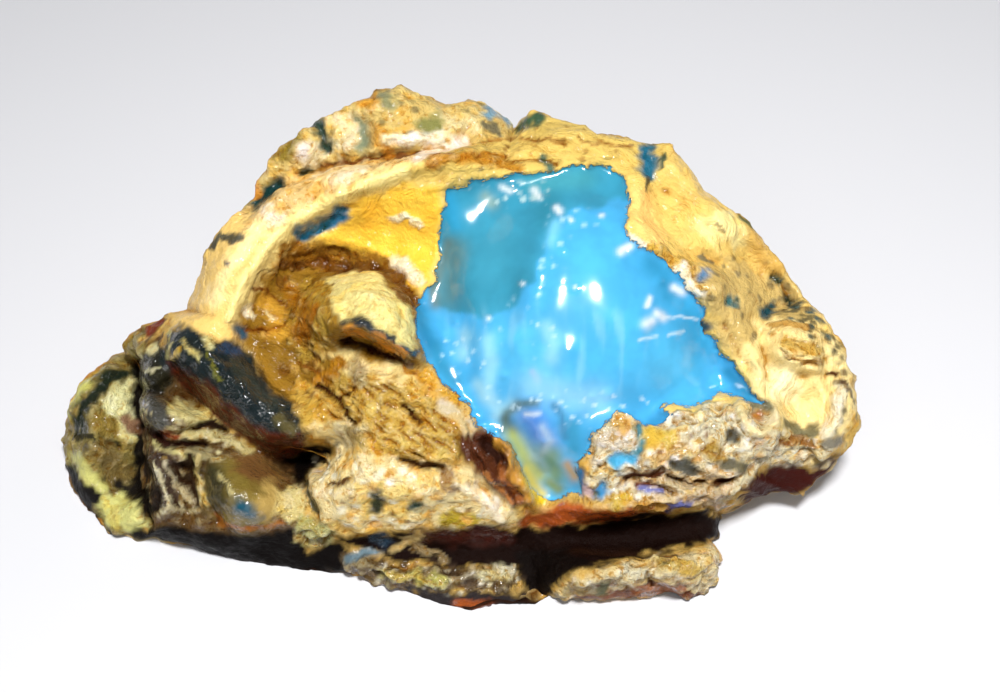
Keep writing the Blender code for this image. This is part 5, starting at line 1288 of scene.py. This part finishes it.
def back_surface(points):
    """The crust away from the show face: ochre and chalk, brown seams, dirt and a few chips."""
    broad = grain(points, *NOISES["broad"])
    middle = grain(points, *NOISES["middle"])
    fine = grain(points, *NOISES["fine"])
    chip = grain(points, *NOISES["chip"]) + middle * 0.2 + fine * 0.1
    masks = {
        "ochre": ramp(broad + middle * 0.5, 0.0, 0.4),
        "chalk": ramp(-broad + middle * 0.6 + fine * 0.4, 0.25, 0.6),
        "gold": ramp(grain(points, *NOISES["gold"]) + fine * 0.3, 0.2, 0.5),
        "seam": seams(points) * 0.8,
        "pit": ramp(cells(points, 2.6), 0.3, 0.12) * ramp(middle, 0.0, 0.2),
        "halo": ramp(chip, 0.44, 0.52),
        "chip": ramp(chip, 0.52, 0.58),
    }
    surface = np.tile(look(*BACK["crust"]), (len(points), 1))
    for name, mask in masks.items():
        paint(surface, *BACK[name], mask)
    return surface


def seams(points):
    """Thin winding seams of the back, 1 in them and 0 beside them."""
    bent = points + bend(points, *NOISES["seam_bend"]) * SEAM_BEND
    winding = ramp(np.abs(grain(bent, *NOISES["seam"])), *SEAM_RANGE)
    return winding * ramp(grain(points, *NOISES["seam_break"]), *SEAM_BREAK_RANGE)


def whole_surface(ragged, points, front):
    """The surface all round: the back, the painted shade of the caves over it, and the show face."""
    surface = back_surface(points)
    caves = [ramp(depth_inside(ragged, outline), *CAVE_EDGE) for outline in CAVES]
    paint(surface, "dark", CAVE_SHADE_COLOUR, np.maximum(*caves))
    surface += (show_face(ragged, points) - surface) * front[:, None]
    return surface


def window_tones(spots):
    """Colour of the window at each spot."""
    flat = np.column_stack([spots, np.zeros(len(spots))])
    colour = np.tile(linear(WINDOW_BLUE), (len(spots), 1))
    depth = depth_inside(spots, TEAL_SIDE) + layered(flat, TEAL_WANDER)
    tint(colour, WINDOW_TEAL, ramp(depth, *TEAL_EDGE))
    for tone, width, line in WINDOW_TONES.values():
        tint(colour, tone, along_line(spots, line, width) * TONE_STRENGTH)
    streaky = ramp(grain(flat / STREAKY_SIZE, *NOISES["streaky"]), *STREAKY_RANGE)
    inside = ramp(depth_inside(spots, STREAKY), *STREAKY_EDGE)
    tint(colour, WINDOW_PALE, streaky * inside * STREAKY_STRENGTH)
    for tone, size, share, outline in WINDOW_FLECKS.values():
        flecks = dusting(flat, spots, size, share, FLECK_FADE, outline)
        tint(colour, tone, flecks * FLECK_STRENGTH)
    return colour


def drawn_lines(spots, points, window):
    """Where each spot lies among the drawn-out lines, how strongly they show, and their height."""
    offset = spots - FLOW_MIDDLE
    far = np.hypot(offset[:, 0], offset[:, 1] * FLOW_SQUASH)
    far += layered(points, FLOW_WANDER)
    turn = np.arctan2(offset[:, 1], offset[:, 0]) * FLOW_TURN
    lines = np.stack([turn / FLOW_SIZE[0], far / FLOW_SIZE[1], far * 0], axis=1)
    share = ramp(depth_inside(spots, FLOW), *FLOW_EDGE) * (1 - window)
    rise = share * FLOW_HEIGHT
    sway = layered(points, STRAND_SWAY)
    for degrees, height, outline in STRANDS.values():
        c, s = math.cos(math.radians(degrees)), math.sin(math.radians(degrees))
        along = (spots[:, 0] * c + spots[:, 1] * s) / STRAND_SIZE[0]
        across = (spots[:, 1] * c - spots[:, 0] * s + sway) / STRAND_SIZE[1]
        here = ramp(depth_inside(spots, outline), *STRAND_EDGE)
        own = np.stack([along, across, along * STRAND_DEPTH], axis=1)
        lines = np.where(here[:, None] > 0, own, lines)
        share = np.where(here > 0, here, share)
        rise = np.where(here > 0, here * height, rise)
    return lines, share, rise


def relief(spots, ragged, points):
    """Height toward the viewer of the small relief."""
    toward = np.zeros(len(spots))
    bent = (spots + ragged) / 2
    uneven = 1 + layered(points, RELIEF_WANDER)
    for width, rise, line in RELIEF.values():
        toward += rise * uneven * along_line(bent, line, width)
    for name, (width, rise) in STREAK_RELIEF.items():
        line = STREAKS[name][-1]
        toward += rise * uneven * along_line(bent, line, width)
    for across, up, width in GLINTS:
        toward += GLINT_HEIGHT * width * along_line(spots, [(across, up)], width)
    return toward


def crust(points, grit):
    """Height of the crust's own grain, in lumps, crags and crumbs."""
    height = layered(points, GRADES)
    height += CRAG_HEIGHT * (CRAG_TOP - np.abs(grain(points, *NOISES["crags"])))
    bent = points + CRUMB_BEND * bend(points, *NOISES["crumb_bend"])
    for size, rise in CRUMBS:
        height += rise * (CRUMB_REACH - cells(bent, size)) * ramp(grit, *CRUMB_GRIT)
    return height * grit


def weather_and_shade(surface, hollow):
    """Darkens the hollows with painted shade and dirt, and pales the raised tops of the crust as wear and
    painted light.
    """
    colours = surface[:, :3]
    colours *= 1 - np.outer(ramp(hollow, *DIRT_DEPTHS), SHADE_AND_DIRT)
    worn = ramp(-hollow, *WORN_HEIGHTS) * ramp(surface[:, 3], *WORN_GRIT)
    tint(colours, WORN_AND_LIT, WORN_STRENGTH * worn)


def attribute(mesh, name, values):
    """Stores one value, or three, for each vertex."""
    kind, key = ("FLOAT", "value") if values.ndim == 1 else ("FLOAT_VECTOR", "vector")
    layer = mesh.attributes.new(name, kind, "POINT")
    layer.data.foreach_set(key, values.astype(np.float32).ravel())


def dress(skin):
    """Fits the skin to the nugget's edge, shapes it, and stores what its material reads."""
    mesh = skin.data
    for _ in range(OUTLINE_ROUNDS):
        write_points(mesh, fit_outline(read_points(mesh)[0]))
    points, normals = read_points(mesh)
    spots = sighted(points)
    ragged = spots + wander(points)
    front = eased(mesh, ramp(normals[:, 2], *FACING) * open_in_front(mesh), FACING_ROUNDS)
    depth = depth_inside(ragged, WINDOW)
    depth = np.where(front > 0.5, depth, -np.abs(depth) - OUTSIDE)
    window = ramp(depth, *WINDOW_EDGE)
    surface = whole_surface(ragged, points, front)
    lines, share, rise = drawn_lines(spots, points, window)
    toward = relief(spots, ragged, points) + rise * ridged(lines, *NOISES["lines"])
    near_edge = np.exp(-np.maximum(-depth, 0) / CRUST_STAND_RUN)
    toward += CRUST_STAND * near_edge * ramp(depth, *CRUST_STAND_EDGE)
    toward += layered(points, RIPPLE) * window
    points[:, 2] += toward * front
    behind = BACK_SEAM * seams(points)
    for size, shift, height in BACK_RIDGES:
        behind += height * ridged(points, size, shift)
    grown = crust(points, surface[:, 3] * (1 - window)) + behind * (1 - front)
    write_points(mesh, points + normals * grown[:, None])
    points, normals = read_points(mesh)
    hollow = ((eased(mesh, points, HOLLOW_ROUNDS) - points) * normals).sum(axis=1)
    weather_and_shade(surface, hollow)
    attribute(mesh, "crust_tint", np.clip(surface[:, :3], 0, 1))
    attribute(mesh, "grit", surface[:, 3])
    attribute(mesh, "wet", surface[:, 4])
    attribute(mesh, "clear", surface[:, 5])
    attribute(mesh, "strand", lines)
    attribute(mesh, "stranded", share * front)
    attribute(mesh, "window", depth)
    attribute(mesh, "window_tint", window_tones((spots * 2 + ragged) / 3))
    mesh.shade_smooth()


class Nodes:
    """Short calls that add nodes to a material and give their outputs."""

    def __init__(self, tree):
        self.tree = tree

    def set(self, socket, value):
        if isinstance(value, bpy.types.NodeSocket):
            self.tree.links.new(value, socket)
        else:
            socket.default_value = value

    def add(self, kind, inputs=(), **settings):
        """All outputs of a new node, whose inputs are given in order or by name."""
        node = self.tree.nodes.new(kind)
        for key, value in settings.items():
            setattr(node, key, value)
        pairs = inputs.items() if isinstance(inputs, dict) else enumerate(inputs)
        for key, value in pairs:
            self.set(node.inputs[key], value)
        return node.outputs

    def attribute(self, name, output="Fac"):
        return self.add("ShaderNodeAttribute", attribute_name=name)[output]

    def noise(self, place, scale, detail=2.0, roughness=0.5, output="Fac"):
        inputs = {"Vector": place, "Scale": scale, "Detail": detail, "Roughness": roughness}
        return self.add("ShaderNodeTexNoise", inputs)[output]

    def cells(self, place, scale):
        return self.add("ShaderNodeTexVoronoi", {"Vector": place, "Scale": scale})

    def math(self, operation, *values):
        return self.add("ShaderNodeMath", values, operation=operation)[0]

    def plus(self, first, second):
        return self.math("ADD", first, second)

    def minus(self, first, second):
        return self.math("SUBTRACT", first, second)

    def times(self, first, *others):
        for other in others:
            first = self.math("MULTIPLY", first, other)
        return first

    def between(self, value, low, high, to_low=0.0, to_high=1.0):
        """Eases the value from to_low at low to to_high at high."""
        inputs = (value, low, high, to_low, to_high)
        return self.add("ShaderNodeMapRange", inputs, interpolation_type="SMOOTHSTEP")[0]

    def vector(self, operation, inputs):
        return self.add("ShaderNodeVectorMath", inputs, operation=operation)[0]

    def scaled(self, vector, amount):
        return self.vector("SCALE", {0: vector, "Scale": amount})

    def shifted(self, place, shift, amount):
        return self.vector("MULTIPLY_ADD", (shift, (amount, amount, amount), place))

    def mix(self, share, first, second):
        return self.add("ShaderNodeMix", {0: share, 6: first, 7: second}, data_type="RGBA")[2]

    def bump(self, height, distance):
        inputs = {"Height": height, "Distance": distance, "Strength": 1.0}
        return self.add("ShaderNodeBump", inputs)[0]


def finest_grain(n, place, grit):
    """(height of the finest grain, shade of each grain)."""
    bent = n.shifted(place, n.noise(place, 1.7, output="Color"), 0.9)
    grains = n.cells(bent, 1.7)
    sugar = n.cells(bent, 3.6)["Distance"]
    height = n.minus(n.noise(place, 1.3, 7.0, 0.68), n.times(grains["Distance"], 0.12))
    height = n.minus(height, n.times(sugar, n.between(grit, 0.6, 1.4, 0.0, 0.16)))
    height = n.plus(height, n.between(grit, 0.6, 1.4, 0.0, 0.06))
    return height, n.add("ShaderNodeSeparateColor", {"Color": grains["Color"]})[0]


def crust_colour(n, place, grit, height, shade, strand, stranded):
    """The painted colour of the crust, varied by TINTS, with painted light on the grain's tops and painted
    shade with dirt in its low places.
    """
    varied = n.between(grit, 0.25, 1.0)
    hue = n.noise(place, 0.42, 4.0, 0.62)
    other_hue = n.noise(n.shifted(place, (31.0, 7.0, 3.0), 1.0), 0.5, 4.0, 0.62)
    hair = n.between(n.math("ABSOLUTE", n.minus(strand, 0.5)), 0.0, 0.035, 0.7, 0.0)
    shares = {
        "orange": n.times(n.between(hue, 0.5, 0.62), varied),
        "cream": n.times(n.between(other_hue, 0.53, 0.63), varied),
        "speck": n.times(n.between(shade, 0.4, 0.95, 0.0, 0.25), varied),
        # painted light on the grain's tops
        "bright": n.times(n.between(height, 0.46, 0.62, 0.0, 0.6), varied),
        # painted shade and dirt in the grain's low places
        "dirt": n.times(n.between(height, 0.41, 0.27), varied),
        "hair": n.times(hair, stranded, n.between(hue, 0.46, 0.6)),
        "glow": n.times(n.between(strand, 0.53, 0.7, 0.0, 0.5), stranded),
    }
    colour = n.attribute("crust_tint", "Color")
    for name, share in shares.items():
        colour = n.mix(share, colour, n.vector("MULTIPLY", (colour, TINTS[name])))
    return colour


def new_material(name):
    """(material, its surface shader)."""
    material = bpy.data.materials.new(name)
    material.use_nodes = True
    return material, material.node_tree.nodes["Principled BSDF"]


def amber_material():
    """Crust, bare resin and window in one material, told apart by the skin's stored values."""
    material, shader = new_material("amber_surface")
    tree = material.node_tree
    n = Nodes(tree)
    place = n.scaled(n.add("ShaderNodeTexCoord")["Object"], 1 / MM)
    grit = n.attribute("grit")
    wet = n.attribute("wet")
    stranded = n.attribute("stranded")
    strand = n.noise(n.attribute("strand", "Vector"), 1.3, 5.0, 0.66)
    ragged = n.times(n.minus(n.noise(place, 2.4, 3.0, 0.6), 0.5), 0.9)
    window = n.between(n.plus(n.attribute("window"), ragged), -0.06, 0.08)
    height, shade = finest_grain(n, place, grit)
    colour = crust_colour(n, place, grit, height, shade, strand, stranded)
    clouds = n.between(n.noise(place, 0.45), 0.3, 0.7, 0.92, 1.06)
    blue = n.scaled(n.attribute("window_tint", "Color"), clouds)
    n.set(shader.inputs["Base Color"], n.mix(window, colour, blue))
    rough = n.between(n.noise(place, 1.3, 3.0), 0.35, 0.7, 0.36, 0.62)
    rough = n.times(rough, n.between(wet, 0.3, 1.0, 1.0, 0.36))
    smoother = n.times(window, n.minus(rough, WINDOW_ROUGHNESS))
    n.set(shader.inputs["Roughness"], n.minus(rough, smoother))
    coat = n.times(n.between(wet, 0.2, 0.9), n.between(n.noise(place, 0.9), 0.38, 0.56))
    n.set(shader.inputs["Coat Weight"], n.math("MAXIMUM", coat, window))
    inside = n.times(window, WINDOW_CLEARNESS)
    n.set(shader.inputs["Transmission Weight"], n.math("MAXIMUM", n.attribute("clear"), inside))
    outside = n.minus(1.0, window)
    height = n.times(height, n.times(grit, outside))
    height = n.plus(height, n.times(strand, n.times(stranded, 0.6)))
    n.set(shader.inputs["Normal"], n.bump(height, 1.0 * MM))
    wetted = n.times(n.noise(place, 1.1, 2.6, 0.55), outside)
    n.set(shader.inputs["Coat Normal"], n.bump(wetted, 0.7 * MM))
    shader.inputs["IOR"].default_value = AMBER_IOR
    shader.inputs["Specular IOR Level"].default_value = SPECULAR
    shader.inputs["Coat Roughness"].default_value = COAT_ROUGHNESS
    inputs = {"Color": (*ABSORPTION, 1), "Density": ABSORPTION_DENSITY}
    volume = n.add("ShaderNodeVolumeAbsorption", inputs)[0]
    n.set(tree.nodes["Material Output"].inputs["Volume"], volume)
    return material


def add_camera():
    """The photograph's view, square to the show face."""
    camera = link_object("camera", bpy.data.cameras.new("camera"))
    camera.data.lens = CAMERA_LENS
    camera.data.sensor_width = SENSOR
    camera.data.clip_start = CLIP_START * MM
    camera.location = EYE
    camera.rotation_euler = TOWARD_VIEWER.to_track_quat("Z", "Y").to_euler()
    bpy.context.scene.camera = camera


def add_floor():
    """A plain pale floor in the resting plane."""
    mesh = bpy.data.meshes.new("floor")
    bm = bmesh.new()
    bmesh.ops.create_grid(bm, x_segments=1, y_segments=1, size=FLOOR_REACH)
    bm.to_mesh(mesh)
    bm.free()
    material, shader = new_material("floor")
    shader.inputs["Base Color"].default_value = (*linear(FLOOR_COLOUR), 1)
    shader.inputs["Roughness"].default_value = FLOOR_ROUGHNESS
    mesh.materials.append(material)
    floor = link_object("floor", mesh)


def add_lamp(name, kind, power, direction, mirrored):
    """A light that shines from that direction, and shows in reflections where it is mirrored."""
    lamp = link_object(name, bpy.data.lights.new(name, kind))
    lamp.data.energy = power
    lamp.rotation_euler = direction.to_track_quat("Z", "Y").to_euler()
    lamp.visible_glossy = mirrored
    return lamp


def add_surroundings():
    """A dim world, three disk lights and a faint wide sky light."""
    world = bpy.data.worlds.new("studio")
    world.use_nodes = True
    background = world.node_tree.nodes["Background"]
    background.inputs["Color"].default_value = WORLD_COLOUR
    background.inputs["Strength"].default_value = WORLD_STRENGTH
    bpy.context.scene.world = world
    bpy.context.scene.view_settings.view_transform = "Standard"
    for name, (place, width, power, mirrored) in LIGHTS.items():
        lamp = add_lamp(name, "AREA", power, Vector(place) - LIGHT_AIM, mirrored)
        lamp.data.shape = "DISK"
        lamp.data.size = width
        lamp.location = place
    sky = add_lamp("sky", "SUN", SKY_POWER, SKY_DIRECTION, False)
    sky.data.angle = SKY_ANGLE


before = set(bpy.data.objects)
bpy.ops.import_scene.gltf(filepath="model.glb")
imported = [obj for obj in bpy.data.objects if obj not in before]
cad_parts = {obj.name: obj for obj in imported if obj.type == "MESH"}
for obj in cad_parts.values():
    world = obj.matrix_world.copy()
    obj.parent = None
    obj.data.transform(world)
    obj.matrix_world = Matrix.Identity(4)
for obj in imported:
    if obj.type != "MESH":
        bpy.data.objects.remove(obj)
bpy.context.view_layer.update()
add_camera()
add_floor()
add_surroundings()
amber = fine_skin(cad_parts[NODE])
dress(amber)
amber.data.materials.clear()
amber.data.materials.append(amber_material())
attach(amber, "root")
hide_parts(NODE)
